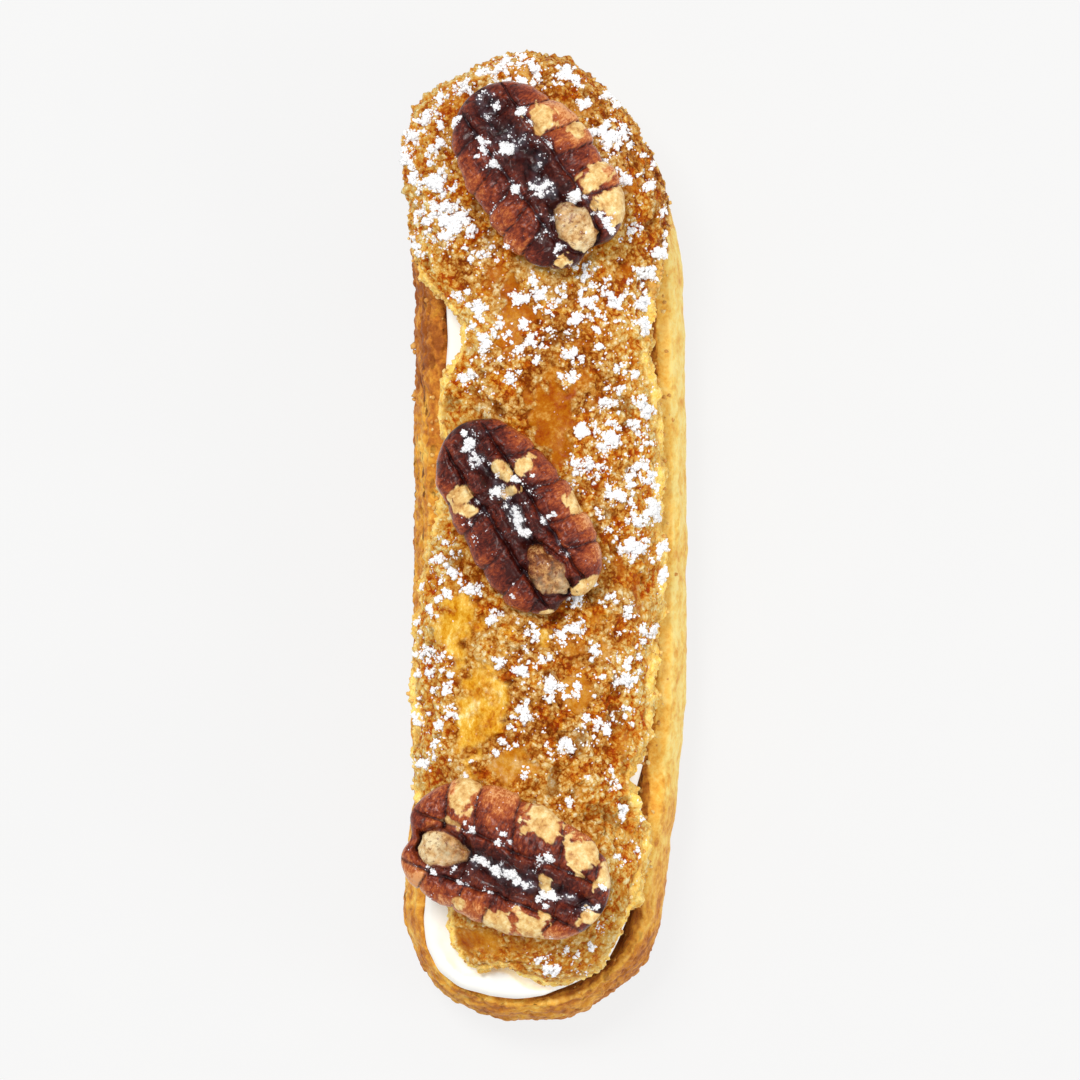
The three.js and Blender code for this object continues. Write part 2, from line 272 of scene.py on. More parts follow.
# Lights are placed and sized in metres, and their power is in watts.
LIGHTS = dict(
    key=dict(direction=(-0.22, 0.3, 0.92), away=2.6, size=0.6, power=40, colour=(1, 0.985, 0.96)),
    fill=dict(direction=(0.75, -0.2, 0.6), away=2.0, size=0.8, power=10, colour=(1, 0.98, 0.94)),
)
SKY_STRENGTH = 0.62
SKY_COLOUR = (0.98, 0.99, 1, 1)
FLOOR_REACH = 6000
FLOOR_GAP = 0.2
FLOOR_MOTTLE = 25
FLOOR_GLOW = 0.815
FLOOR_LIGHT = (1, 0.999, 0.997)
FLOOR_TONES = [(grey, grey, grey) for grey in (0.075, 0.085)]


def place_light(name, direction, away, size, power, colour):
    data = bpy.data.lights.new(name, "AREA")
    data.size = size
    data.energy = power
    data.color = colour
    light = bpy.data.objects.new(name, data)
    bpy.context.collection.objects.link(light)
    towards = Vector(direction).normalized()
    light.location = towards * away
    light.rotation_euler = towards.to_track_quat("Z", "Y").to_euler()


def place_stage():
    """A bright room, soft light from the upper left, and a floor that glows like a light table."""
    bpy.context.scene.view_settings.view_transform = "Standard"
    world = bpy.data.worlds.new("studio")
    world.use_nodes = True
    sky = world.node_tree.nodes["Background"]
    sky.inputs["Color"].default_value = SKY_COLOUR
    sky.inputs["Strength"].default_value = SKY_STRENGTH
    bpy.context.scene.world = world
    for name, settings in LIGHTS.items():
        place_light(name, **settings)
    mesh = bpy.data.meshes.new("floor")
    far = FLOOR_REACH * MM
    mesh.from_pydata([(-far, -far, 0), (far, -far, 0), (far, far, 0), (-far, far, 0)], [], [(0, 1, 2, 3)])
    floor = bpy.data.objects.new("floor", mesh)
    floor.location.z = -FLOOR_GAP * MM
    bpy.context.collection.objects.link(floor)
    look = Shader("floor")
    tone = look.blend(look.noise(per_mm(FLOOR_MOTTLE), 3), *FLOOR_TONES)
    material = look.finish(tone, 0.95, Emission_Color=FLOOR_LIGHT, Emission_Strength=FLOOR_GLOW)
    material.cycles.emission_sampling = "NONE"
    mesh.materials.append(material)


# Materials


def srgb(*colour):
    """A colour as seen, 0 to 255, as the light that shaders work in."""
    shares = [value / 255 for value in colour]
    return tuple(((c + 0.055) / 1.055) ** 2.4 if c > 0.04045 else c / 12.92 for c in shares)


# Colours as seen, red, green and blue, each after the place where it sits between low and high.
PALETTES = dict(
    crumb=[
        (0, 140, 62, 0), (0.18, 178, 100, 16), (0.38, 204, 142, 56), (0.58, 222, 174, 94),
        (0.78, 233, 201, 138), (1, 246, 232, 196),
    ],
    toasted=[
        (0, 110, 42, 0), (0.25, 160, 88, 20), (0.5, 194, 136, 62), (0.75, 220, 178, 110), (1, 246, 222, 172),
    ],
    sticky=[
        (0, 148, 50, 0), (0.25, 188, 89, 2), (0.5, 210, 138, 32), (0.75, 232, 184, 94), (1, 252, 230, 174),
    ],
    golden=[
        (0, 176, 62, 0), (0.2, 202, 110, 14), (0.45, 222, 160, 62), (0.7, 230, 193, 110), (1, 244, 229, 176),
    ],
    amber=[(0.34, 124, 44, 0), (0.44, 160, 71, 2), (0.54, 180, 106, 10), (0.66, 218, 166, 82)],
    yellow=[(0.37, 176, 90, 0), (0.45, 214, 146, 20), (0.53, 236, 188, 74), (0.62, 254, 236, 172)],
    pale=[(0.25, 232, 162, 42), (0.42, 250, 203, 90), (0.58, 255, 226, 134), (0.78, 255, 242, 192)],
    choux=[
        (0, 255, 230, 142), (0.25, 250, 208, 104), (0.5, 234, 166, 58), (0.75, 200, 122, 40),
        (1, 154, 82, 24),
    ],
    cut=[(0.25, 228, 142, 26), (0.5, 252, 192, 80), (0.8, 255, 226, 140)],
    skin=[
        (0, 58, 16, 12), (0.3, 106, 38, 24), (0.6, 156, 70, 34), (0.85, 194, 112, 56), (1, 222, 156, 100),
    ],
    ink=[(0.35, 20, 7, 10), (0.65, 66, 24, 22)],
    meat=[(0.3, 166, 104, 54), (0.42, 214, 164, 94), (0.54, 236, 202, 134), (0.68, 252, 234, 184)],
    brown=[(0.4, 70, 30, 12), (0.5, 132, 72, 34), (0.6, 198, 146, 88)],
    ivory=[(0.36, 178, 126, 70), (0.47, 220, 180, 122), (0.6, 248, 228, 180)],
    loose=[(0, 180, 106, 40), (0.4, 216, 156, 76), (0.75, 238, 194, 110), (1, 252, 228, 164)],
)
# Painted shade for the crust's sunken pits.
PIT_SHADE = srgb(104, 42, 4)
# Painted shade inside the choux's pores.
HOLE_SHADE = srgb(98, 42, 10)
SPECKLE = srgb(118, 62, 34)
DUST = srgb(250, 248, 247)
DUST_ON_PECAN = srgb(234, 234, 238)
SUGAR_FILM = srgb(150, 152, 168)
CREAM_TONES = (srgb(248, 244, 235), srgb(253, 252, 247))
SUGAR_TONES = (srgb(248, 248, 250), srgb(255, 255, 255))


class Shader:
    """A material made of nodes, with a principled surface."""

    def __init__(self, name):
        self.material = bpy.data.materials.new(name)
        self.material.use_nodes = True
        self.tree = self.material.node_tree
        self.tree.nodes.clear()
        self.place = self.add("ShaderNodeTexCoord").outputs["Object"]

    def add(self, kind, sockets=None, **settings):
        """A new node with its settings, and what its sockets, by name or number, are fed."""
        node = self.tree.nodes.new(kind)
        for key, value in settings.items():
            setattr(node, key, value)
        for key, value in (sockets or {}).items():
            self.feed(node.inputs[key], value)
        return node

    def feed(self, socket, value):
        if isinstance(value, bpy.types.NodeSocket):
            self.tree.links.new(value, socket)
        elif isinstance(value, tuple) and len(value) == 3 and socket.type == "RGBA":
            socket.default_value = (*value, 1)
        else:
            socket.default_value = value

    def numbers(self, names):
        """What the mesh keeps at its points under each of the names."""
        return [self.add("ShaderNodeAttribute", attribute_name=name).outputs["Fac"] for name in names.split()]

    def noise(self, scale, detail=4, roughness=0.6, vector=None):
        sockets = {"Vector": vector or self.place, "Scale": scale, "Detail": detail, "Roughness": roughness}
        return self.add("ShaderNodeTexNoise", sockets).outputs["Fac"]

    def voronoi(self, vector, scale):
        """Scattered cells: how far the nearest middle is, and a number of the cell's own."""
        node = self.add("ShaderNodeTexVoronoi", {"Vector": vector, "Scale": scale})
        apart = self.add("ShaderNodeSeparateColor", {"Color": node.outputs["Color"]})
        return node.outputs["Distance"], apart.outputs["Red"]

    def wobble(self, vector, scale, reach):
        """A place pushed about by noise, so that cells lose their straight sides."""
        node = self.add("ShaderNodeTexNoise", {"Vector": vector, "Scale": scale, "Detail": 3})
        sockets = {0: node.outputs["Color"], 1: (2 * reach,) * 3, 2: vector}
        return self.add("ShaderNodeVectorMath", sockets, operation="MULTIPLY_ADD").outputs["Vector"]

    def stretch(self, vector, scale):
        return self.add("ShaderNodeMapping", {"Vector": vector, "Scale": scale}).outputs["Vector"]

    def math(self, operation, first, second):
        return self.add("ShaderNodeMath", {0: first, 1: second}, operation=operation).outputs[0]

    def times(self, first, second):
        return self.math("MULTIPLY", first, second)

    def less(self, first, second):
        return self.math("SUBTRACT", first, second)

    def total(self, first, *others):
        for other in others:
            first = self.math("ADD", first, other)
        return first

    def spread(self, value, low, high, to_low=0.0, to_high=1.0):
        """A number from one range carried into another, smooth at both ends."""
        sockets = {"Value": value, "From Min": low, "From Max": high, "To Min": to_low, "To Max": to_high}
        return self.add("ShaderNodeMapRange", sockets, interpolation_type="SMOOTHSTEP").outputs["Result"]

    def blend(self, share, first, second):
        return self.add("ShaderNodeMix", {0: share, 6: first, 7: second}, data_type="RGBA").outputs[2]

    def stops(self, value, palette):
        """The colours of a palette, by a number from 0 to 1."""
        node = self.add("ShaderNodeValToRGB", {"Fac": value})
        points = node.color_ramp.elements
        while len(points) < len(PALETTES[palette]):
            points.new(1)
        for point, (at, *colour) in zip(points, PALETTES[palette]):
            point.position = at
            point.color = (*srgb(*colour), 1)
        return node.outputs["Color"]

    def bump(self, height, distance, strength):
        sockets = {"Height": height, "Distance": distance * MM, "Strength": strength}
        return self.add("ShaderNodeBump", sockets).outputs["Normal"]

    def finish(self, colour, roughness, **extra):
        sockets = {"Base Color": colour, "Roughness": roughness}
        for key, value in extra.items():
            sockets[key.replace("_", " ")] = value
        surface = self.add("ShaderNodeBsdfPrincipled", sockets)
        self.add("ShaderNodeOutputMaterial", {"Surface": surface.outputs["BSDF"]})
        return self.material


def per_mm(size):
    """The scale of noise in materials, waves to a metre, for waves of so many millimetres."""
    return 1 / (size * MM)


# A grain of dust has a soft edge, and is larger where dust lies thicker.
DUST_SOFT = 0.04
DUST_GROWTH = 0.5
DUST_EDGE = (0.34, 0.18)


def powder(look, place, scale, density):
    """White dust in fine grains, as large a share of them as the density says."""
    away, own = look.voronoi(place, scale)
    falling = look.spread(look.less(density, own), -DUST_SOFT, DUST_SOFT)
    beyond = look.less(away, look.times(density, DUST_GROWTH))
    return look.times(falling, look.spread(beyond, *DUST_EDGE))


# Sizes in the crust: crumbs, smaller crumbs, grit, patches, sticky places and dust.
CRUMB_SIZE = 0.8
SMALL_CRUMB_SIZE = 0.38
GRIT_SIZE = 0.75
PATCH_SIZE = 5
STICKY_SIZE = 3.4
DUST_SIZE = 0.42
# A painted glow on the thin torn edge, which lightens it where it faces away from the lamps.
TORN_PAINTED_GLOW = 0.2


def crust_material():
    look = Shader("craquelin")
    rise, toast, fresh, glazed = look.numbers("rise toast fresh glazed")
    pit, bald, gold, torn, dust = look.numbers("pit bald gold torn dust")
    place = look.wobble(look.place, per_mm(0.9), 0.3 * MM)
    away, own = look.voronoi(place, per_mm(CRUMB_SIZE))
    small_away, small_own = look.voronoi(place, per_mm(SMALL_CRUMB_SIZE))
    fine = look.noise(per_mm(GRIT_SIZE), 5, 0.78)
    broad = look.noise(per_mm(PATCH_SIZE), 5, 0.6)
    relief = look.total(look.times(away, -0.8), look.times(small_away, -0.5))
    # The crumble is paler on raised crumbs and darker in the crevices between them: partly its own caramel in
    # the crevices, partly painted shade there and painted light on the tops.
    crumb_tone_and_shade = look.total(
        look.spread(rise, 0, 1, 0.1, 0.44),
        look.times(fresh, 0.1),
        look.times(glazed, 0.08),
        look.spread(own, 0, 1, -0.2, 0.2),
        look.spread(small_own, 0, 1, -0.12, 0.12),
        look.spread(relief, -0.85, -0.2, -0.2, 0.26),
        look.spread(fine, 0.28, 0.72, 0.0, 0.36),
    )
    colour = look.blend(toast, look.stops(crumb_tone_and_shade, "crumb"), look.stops(crumb_tone_and_shade, "toasted"))
    sugary = look.spread(look.noise(per_mm(STICKY_SIZE), 4, 0.65), 0.48, 0.6)
    colour = look.blend(look.math("MAXIMUM", sugary, glazed), colour, look.stops(crumb_tone_and_shade, "sticky"))
    colour = look.blend(fresh, colour, look.stops(crumb_tone_and_shade, "golden"))
    # Pits are darkened: painted shade in the sunken pits of the crumble.
    colour = look.blend(pit, colour, PIT_SHADE)
    glow = look.total(look.times(broad, 0.55), look.times(fine, 0.45))
    fibres = look.noise(per_mm(1.1), 6, 0.75, look.stretch(place, (1, 0.6, 1)))
    streaks = look.total(look.times(fibres, 0.6), look.times(broad, 0.4))
    glaze = look.blend(gold, look.stops(glow, "amber"), look.stops(streaks, "yellow"))
    colour = look.blend(bald, colour, glaze)
    # The torn edge is coloured pale crumb, partly its own colour and partly painted light, and it glows in
    # that colour too: a painted glow.
    pale = look.stops(fine, "pale")
    colour = look.blend(torn, colour, pale)
    colour = look.blend(powder(look, place, per_mm(DUST_SIZE), dust), colour, DUST)
    height = look.total(look.times(relief, 0.7), fine)
    height = look.times(height, look.spread(bald, 0, 1, 1.0, 0.2))
    return look.finish(
        colour,
        look.spread(bald, 0, 1, 0.32, 0.22),
        Normal=look.bump(height, 0.34, 0.9),
        Specular_IOR_Level=0.07,
        Emission_Color=pale,
        Emission_Strength=look.times(torn, TORN_PAINTED_GLOW),
    )


# Sizes in the choux: blisters, grit, mottling and holes. Its cracks run lengthwise.
BLISTER_SIZE = 0.9
CHOUX_GRIT_SIZE = 0.8
MOTTLE_SIZE = 3.4
HOLE_SIZE = 1.25
CRACK_STRETCH = 0.35


def choux_material():
    look = Shader("choux")
    browned, pore, cut = look.numbers("toast pore cut")
    place = look.wobble(look.place, per_mm(1.1), 0.4 * MM)
    away, own = look.voronoi(place, per_mm(BLISTER_SIZE))
    fine = look.noise(per_mm(CHOUX_GRIT_SIZE), 5, 0.7)
    mottle = look.noise(per_mm(MOTTLE_SIZE), 5, 0.6)
    toast = look.total(
        browned,
        look.spread(mottle, 0.3, 0.7, -0.2, 0.2),
        look.spread(fine, 0.3, 0.7, 0.12, -0.12),
        look.spread(own, 0, 1, -0.06, 0.06),
    )
    wrinkled = look.wobble(look.stretch(place, (1, CRACK_STRETCH, 1)), per_mm(0.8), 0.35 * MM)
    hole_away, hole_own = look.voronoi(wrinkled, per_mm(HOLE_SIZE))
    hole = look.times(look.spread(hole_away, 0.42, 0.2), look.spread(hole_own, 0.5, 0.56))
    hole = look.times(hole, pore)
    colour = look.blend(cut, look.stops(toast, "choux"), look.stops(fine, "cut"))
    # Holes are darkened: painted shade inside the pores.
    colour = look.blend(look.times(hole, 0.85), colour, HOLE_SHADE)
    height = look.less(look.less(fine, look.times(away, 0.6)), hole)
    return look.finish(colour, 0.5, Normal=look.bump(height, 0.3, 0.8), Specular_IOR_Level=0.15)


# Painted glow on the cream and on the heaped sugar, which lightens their shaded sides.
CREAM_PAINTED_GLOW = 0.06
CREAM_PAINTED_GLOW_COLOUR = (1, 0.97, 0.9)
SUGAR_PAINTED_GLOW = 0.06
SUGAR_PAINTED_GLOW_COLOUR = (1, 1, 1)


def cream_material():
    look = Shader("cream")
    colour = look.blend(look.noise(per_mm(6), 3), *CREAM_TONES)
    normal = look.bump(look.noise(per_mm(1.4), 3, 0.5), 0.12, 0.4)
    # The cream glows a little: a painted glow that lightens it where the lid shades it.
    return look.finish(colour, 0.45, Normal=normal, Emission_Color=CREAM_PAINTED_GLOW_COLOUR, Emission_Strength=CREAM_PAINTED_GLOW)


def sugar_material():
    look = Shader("sugar")
    colour = look.blend(look.noise(per_mm(0.5), 4, 0.7), *SUGAR_TONES)
    normal = look.bump(look.noise(per_mm(0.3), 4, 0.75), 0.06, 0.6)
    # The sugar glows a little: a painted glow that lightens the shaded sides of its grains.
    glow = dict(Emission_Color=SUGAR_PAINTED_GLOW_COLOUR, Emission_Strength=SUGAR_PAINTED_GLOW)
    return look.finish(colour, 0.85, Normal=normal, Specular_IOR_Level=0.2, **glow)


def crumb_material():
    look = Shader("crumb")
    fine = look.noise(per_mm(0.6), 4)
    tone = look.total(*look.numbers("tone"), look.spread(fine, 0.2, 0.8, -0.2, 0.2))
    normal = look.bump(look.noise(per_mm(0.3), 3, 0.7), 0.1, 0.7)
    return look.finish(look.stops(tone, "loose"), 0.7, Normal=normal, Specular_IOR_Level=0.35)


def pecan_material():
    """Its noise runs in each kernel's own millimetres, so the scales are waves to a millimetre."""
    look = Shader("pecan")
    local = look.add("ShaderNodeAttribute", attribute_name="local").outputs["Vector"]
    tone, dark, chip, pale, germ, film, dust = look.numbers("tone dark chip pale germ film dust")
    streaks = look.noise(2.6, 5, 0.75, look.stretch(local, (0.35, 1, 1)))
    mottle = look.noise(0.6, 5, 0.7, local)
    grit = look.noise(3.2, 3, 0.7, local)
    meat_tone = look.noise(0.8, 6, 0.72, local)
    tone = look.total(
        tone,
        look.spread(mottle, 0.3, 0.7, -0.16, 0.16),
        look.spread(streaks, 0.3, 0.7, -0.25, 0.25),
    )
    # The dark skin is partly its own colour and partly painted shade in its hollows and creases.
    colour = look.blend(dark, look.stops(tone, "skin"), look.stops(mottle, "ink"))
    colour = look.blend(chip, colour, look.stops(meat_tone, "meat"))
    speckle = look.spread(look.noise(1.3, 5, 0.75, local), 0.52, 0.64)
    nub = look.blend(pale, look.stops(meat_tone, "brown"), look.stops(mottle, "ivory"))
    nub = look.blend(look.times(speckle, 0.85), nub, SPECKLE)
    colour = look.blend(germ, colour, nub)
    colour = look.blend(film, colour, SUGAR_FILM)
    colour = look.blend(powder(look, local, 3.4, dust), colour, DUST_ON_PECAN)
    normal = look.bump(look.total(streaks, grit), 0.05, 0.8)
    return look.finish(colour, look.spread(chip, 0, 1, 0.2, 0.36), Normal=normal, Specular_IOR_Level=0.26)


# Small corrections of outlines, as x, y, push across, push along and reach, in the part's drawing.
LID_NUDGES = [
    (12.3, -31.5, 0.7, 0, 3.5), (-16.5, 64, 1.0, -1.0, 5), (14, 61, -0.6, -0.5, 5), (-20.5, 47, 1.2, 0, 4),
    (-12, 28.5, 0.5, 0, 3), (-13.5, 23, -1.3, 0, 3.5), (-15, -52, 1.2, 0, 3), (-13.5, -57.5, 0.7, 0.2, 4),
    (-2.5, -64, 0, 1.2, 4),
]
BOAT_NUDGES = [(-15.4, -58, -0.9, -0.3, 4), (-12, -62.5, -0.7, -0.7, 4)]
HULL_NUDGES = [
    (14.6, -32, -0.9, 0, 3), (18.5, 41, 0.8, 0, 7), (-19.5, -36, 1.3, 0, 6), (-20, -46, 0.6, 0, 5),
    (-19.5, -58.5, 0.6, 0.2, 3), (-7, -68, -0.3, -0.5, 4), (3, -68, 0.3, -0.4, 4),
    (13.5, -60, 0.9, -0.3, 6),
]


def nudge(mesh, nudges):
    """Moves a mesh sideways by small pushes that fade with distance. Returns its points and normals."""
    points = points_of(mesh)
    drawn = points[:, :2] - SHIFT
    for x, y, across, along, reach in nudges:
        points[:, :2] += np.outer(dip(oval(drawn, x, y), reach), (across, along))
    set_points(mesh, points)
    return points_of(mesh), normals_of(mesh)


# Choux boat

BASE_VOXEL = 0.38
BASE_ROUNDS = 8
BASE_TRIANGLES = 190000
LENGTHWISE = (1, 0.13, 1)
PORE_STRETCH = (1, 0.42, 1)
# Heights of the boat's relief. Blisters are low on the right and high on the left and at the tail.
BASE_LUMP = 0.3
BASE_GRAIN = 0.16
BLISTERS = (0.06, 0.6)
PORE_DEPTH = 0.5
CRACK_DEPTH = 0.5
CUT_ROUGHNESS = 0.26


def make_base():
    mesh = remeshed("base", BASE_VOXEL, BASE_ROUNDS)
    points, normals = nudge(mesh, BOAT_NUDGES + HULL_NUDGES)
    x, y, z = points.T
    level = z / (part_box("base")[1][2] / MM)
    outside = ramp(level, 0.02, 0.2)
    left = np.maximum(ramp(-normals[:, 0], -0.3, 0.5), ramp(-x, 4, 12)) * ramp(y, -75, -45)
    tail = ramp(-y, 46, 66)
    rugged = np.maximum(left, tail)
    cut = ramp(normals[:, 2], 0.6, 0.9) * ramp(level, 0.9, 0.97)
    bumps = grains(warp(points, 1.2, 0.3, 58), 1.1, 60)
    near, own = cells(warp(points, 1.6, 0.5, 64) * PORE_STRETCH, 1.15, 70)
    pore = (1 - ramp(near, 0.1, 0.42)) * (own > 0.55)
    amount = rugged * ramp(layered(points, 6, 72), -0.35, 0.15)
    crack = 1 - ramp(abs(noise(warp(points, 3, 0.8, 73) * LENGTHWISE * 2.4, 2.6, 75)), 0.0, 0.07)
    crack = crack * ramp(noise(points, 5, 76), 0.0, 0.4) * left * ramp(level, 0.4, 0.7)
    lump = layered(points, 4.5, 78)
    grain = layered(points, 1.6, 79, 3, 0.7)
    relief = BASE_LUMP * lump + lerp(*BLISTERS, rugged) * (bumps - 0.4) + BASE_GRAIN * grain
    relief = relief - PORE_DEPTH * pore * amount - CRACK_DEPTH * crack
    relief = relief * outside + CUT_ROUGHNESS * cut * layered(points, 1.1, 82)
    set_points(mesh, points + normals * relief[:, None])
    low_rim = 1 - ramp(level, 0.05, 0.5)
    right_tail = ramp(x, 4, 18) * ramp(-y, 25, 50)
    browning = 0.22 + left * (0.36 + 0.34 * ramp(y + 4 * lump, 10, 31)) + 0.36 * tail + 0.27 * right_tail
    browning += 0.25 * low_rim * (1 - 0.6 * ramp(-y, -5, 15) * left)
    browning += 0.16 * layered(points, 12, 85) - 0.25 * grain
    holed = np.clip(amount + crack, 0, 1) * (1 - 0.6 * tail)
    set_numbers(mesh, toast=np.clip(browning, 0, 1), cut=cut * lerp(0.7, 0.0, left), pore=holed)
    made = piece("choux_boat", thinned(mesh, BASE_TRIANGLES), choux_material())
    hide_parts("base")
    return made


# Cream

CREAM_VOXEL = 0.5
CREAM_ROUNDS = 8
CREAM_TRIANGLES = 90000
CREAM_FOLD = 0.14
CREAM_STRETCH = (1, 0.6, 1)


def make_cream():
    mesh = remeshed("cream", CREAM_VOXEL, CREAM_ROUNDS)
    points, normals = nudge(mesh, BOAT_NUDGES)
    side = ramp(0.9 - abs(normals[:, 2]), 0.0, 0.4)
    folds = layered(points * CREAM_STRETCH, 3.2, 90, 2)
    set_points(mesh, points + normals * (CREAM_FOLD * folds * side)[:, None])
    made = piece("piped_cream", thinned(mesh, CREAM_TRIANGLES), cream_material())
    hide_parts("cream")


# Lid

# Smooth places where the crumble is gone: x, y and half sizes in the part's drawing, and how yellow each is.
BALD_PATCHES = [
    (-4.4, 30, 2.8, 5.5, 0.1), (0.8, 17, 3.4, 6.5, 0.0), (-12.8, -12, 2.7, 5.2, 1.0),
    (-9.4, -23.2, 4, 6.4, 1.0), (-4.6, -32.5, 3.6, 3, 0.3), (4.1, -22, 2.2, 3, 0.2),
    (-9, -57.5, 4.5, 2.4, 0.25),
]
LID_VOXEL = 0.26
LID_ROUNDS = 5
LID_TRIANGLES = 198000
# The edge is torn, and pale, below the head: over this width, from fully to not at all.
TORN_WIDTH = (0.4, 1.4)
TORN_BELOW = 44
OUTLINE_STEP = 0.5
# The tail is glazed below this.
GLAZED_BELOW = -52
# The crumble: how high it stands, how far its middle is sunk, and how deep its pits and bald places are.
CRUMBLE = 1.5
CRUMBLE_SINK = 0.63
PIT_DEPTH = 0.5
BALD_DEPTH = 0.34
SMOOTH_STRETCH = (1, 0.5, 1)


def baldness(points):
    """How bald the lid is at each point, and how yellow the bald place is."""
    ragged = summed(points, 100, (0.35, 3.2), (0.5, 1.3), (0.2, 0.7))
    drawn = points[:, :2] - SHIFT
    most = np.full(len(points), OUT_OF_REACH)
    gold = np.zeros(len(points))
    for *patch, yellow in BALD_PATCHES:
        inside = 1 - oval(drawn, *patch)
        gold = np.where(inside > most, yellow, gold)
        most = np.maximum(most, inside)
    soft = 0.1 + 0.2 * gold
    bald = ramp(most + ragged, 0.1 - soft, 0.1 + soft)
    return bald * (1 - 0.5 * gold * ramp(layered(points, 2.2, 104, 3, 0.7), 0.05, 0.35)), gold


def inward(points):
    """How far in each point lies from the outline that shows from above."""
    x, y, _ = points.T
    row = np.floor((y - y.min()) / OUTLINE_STEP).astype(int)
    column = np.floor((x - x.min()) / OUTLINE_STEP).astype(int)
    left = np.full(row.max() + 1, np.inf)
    right = np.full(row.max() + 1, -np.inf)
    end = np.full(column.max() + 1, np.inf)
    np.minimum.at(left, row, x)
    np.maximum.at(right, row, x)
    np.minimum.at(end, column, y)
    return np.minimum.reduce([x - left[row], right[row] - x, y - end[column]])


def make_lid():
    """The lid's mesh with its crumble, its normals, and how well sugar keeps at each point."""
    mesh = remeshed("lid", LID_VOXEL, LID_ROUNDS)
    points, normals = nudge(mesh, LID_NUDGES)
    x = points[:, 0]
    y = points[:, 1] - SHIFT[1]
    open_side = ramp(normals[:, 2], -0.55, -0.1)
    top = ramp(normals[:, 2], 0.0, 0.4)
    side = ramp(0.55 - normals[:, 2], 0.0, 0.5)
    bald, gold = baldness(points)
    caramel = 0.75 * ramp(layered(points, 3.6, 103, 4, 0.7), 0.26, 0.46)
    bald = np.maximum(bald, caramel) * top
    moved = warp(warp(points, 2.6, 0.7, 110), 0.9, 0.3, 113)
    lumps = 0.75 * layered(points, 3.4, 116, 4, 0.66)
    lumps = lumps + 0.3 * grains(moved, 1.5, 120) + 0.35 * grains(moved, 0.8, 130)
    glazed = ramp(GLAZED_BELOW - y, 0, 7)
    thick = lerp(0.65, 1.25, ramp(layered(points, 6.5, 140), -0.3, 0.3)) * (1 - 0.2 * glazed)
    # Pits sink into the crumble, and the material paints them dark as well: painted shade.
    pit = ramp(layered(moved, 2.6, 125), 0.24, 0.46) * top * (1 - 0.6 * glazed)
    height = thick * (CRUMBLE * lumps - CRUMBLE_SINK) - PIT_DEPTH * pit
    height += 0.9 * side * layered(points, 1.7, 147, 3, 0.75)
    smooth = 0.2 * layered(points * SMOOTH_STRETCH, 1.6, 145, 3, 0.7) - BALD_DEPTH
    height = lerp(height, smooth, bald) * open_side
    set_points(mesh, points + normals * height[:, None])
    # How high each crumb stands. The material turns this into paler tops and darker crevices, partly as
    # painted shade.
    low, high = np.percentile(lumps[top > 0.5], (4, 97))
    toast = 0.75 * ramp(layered(points, 7, 150), -0.3, 0.5) + 0.35 * ramp(y, 40, 62) - 0.5 * glazed
    edge = inward(points)
    dark_shoulder = ramp(x, 0, 8) * ramp(y, 30, 42)
    reach = lerp(7, 11, ramp(x, 2, 9) * ramp(-y, 30, 42))
    fresh = (1 - ramp(edge + 2 * layered(points, 3, 155), 0.22 * reach, reach)) * (1 - dark_shoulder)
    tail_left = glazed * (1 - ramp(x, 3, 9))
    fresh = 0.9 * fresh * (1 - 0.6 * tail_left) * (1 - 0.45 * ramp(y, 28, 42) * ramp(x, -6, 2))
    wide = lerp(0.6, 1, ramp(x, 0, 8))
    fringe = 1 - ramp((edge + 0.7 * layered(points, 1.8, 153)) / wide, *TORN_WIDTH)
    torn = fringe * ramp(TORN_BELOW - y, 0, 10) * (0.75 + 0.9 * noise(points, 2.6, 152)) * open_side
    set_numbers(
        mesh,
        rise=np.clip((lumps - low) / (high - low), 0, 1),
        pit=np.clip(pit * 0.5 * (1 - bald), 0, 1),
        bald=np.clip(bald + 0.2 * glazed * top, 0, 1),
        gold=gold,
        glazed=0.85 * glazed,
        toast=np.clip(toast, 0, 1),
        fresh=fresh,
        torn=np.clip(torn, 0, 1),
    )
    return mesh, normals, top * (1 - 0.6 * bald)


# Pecans

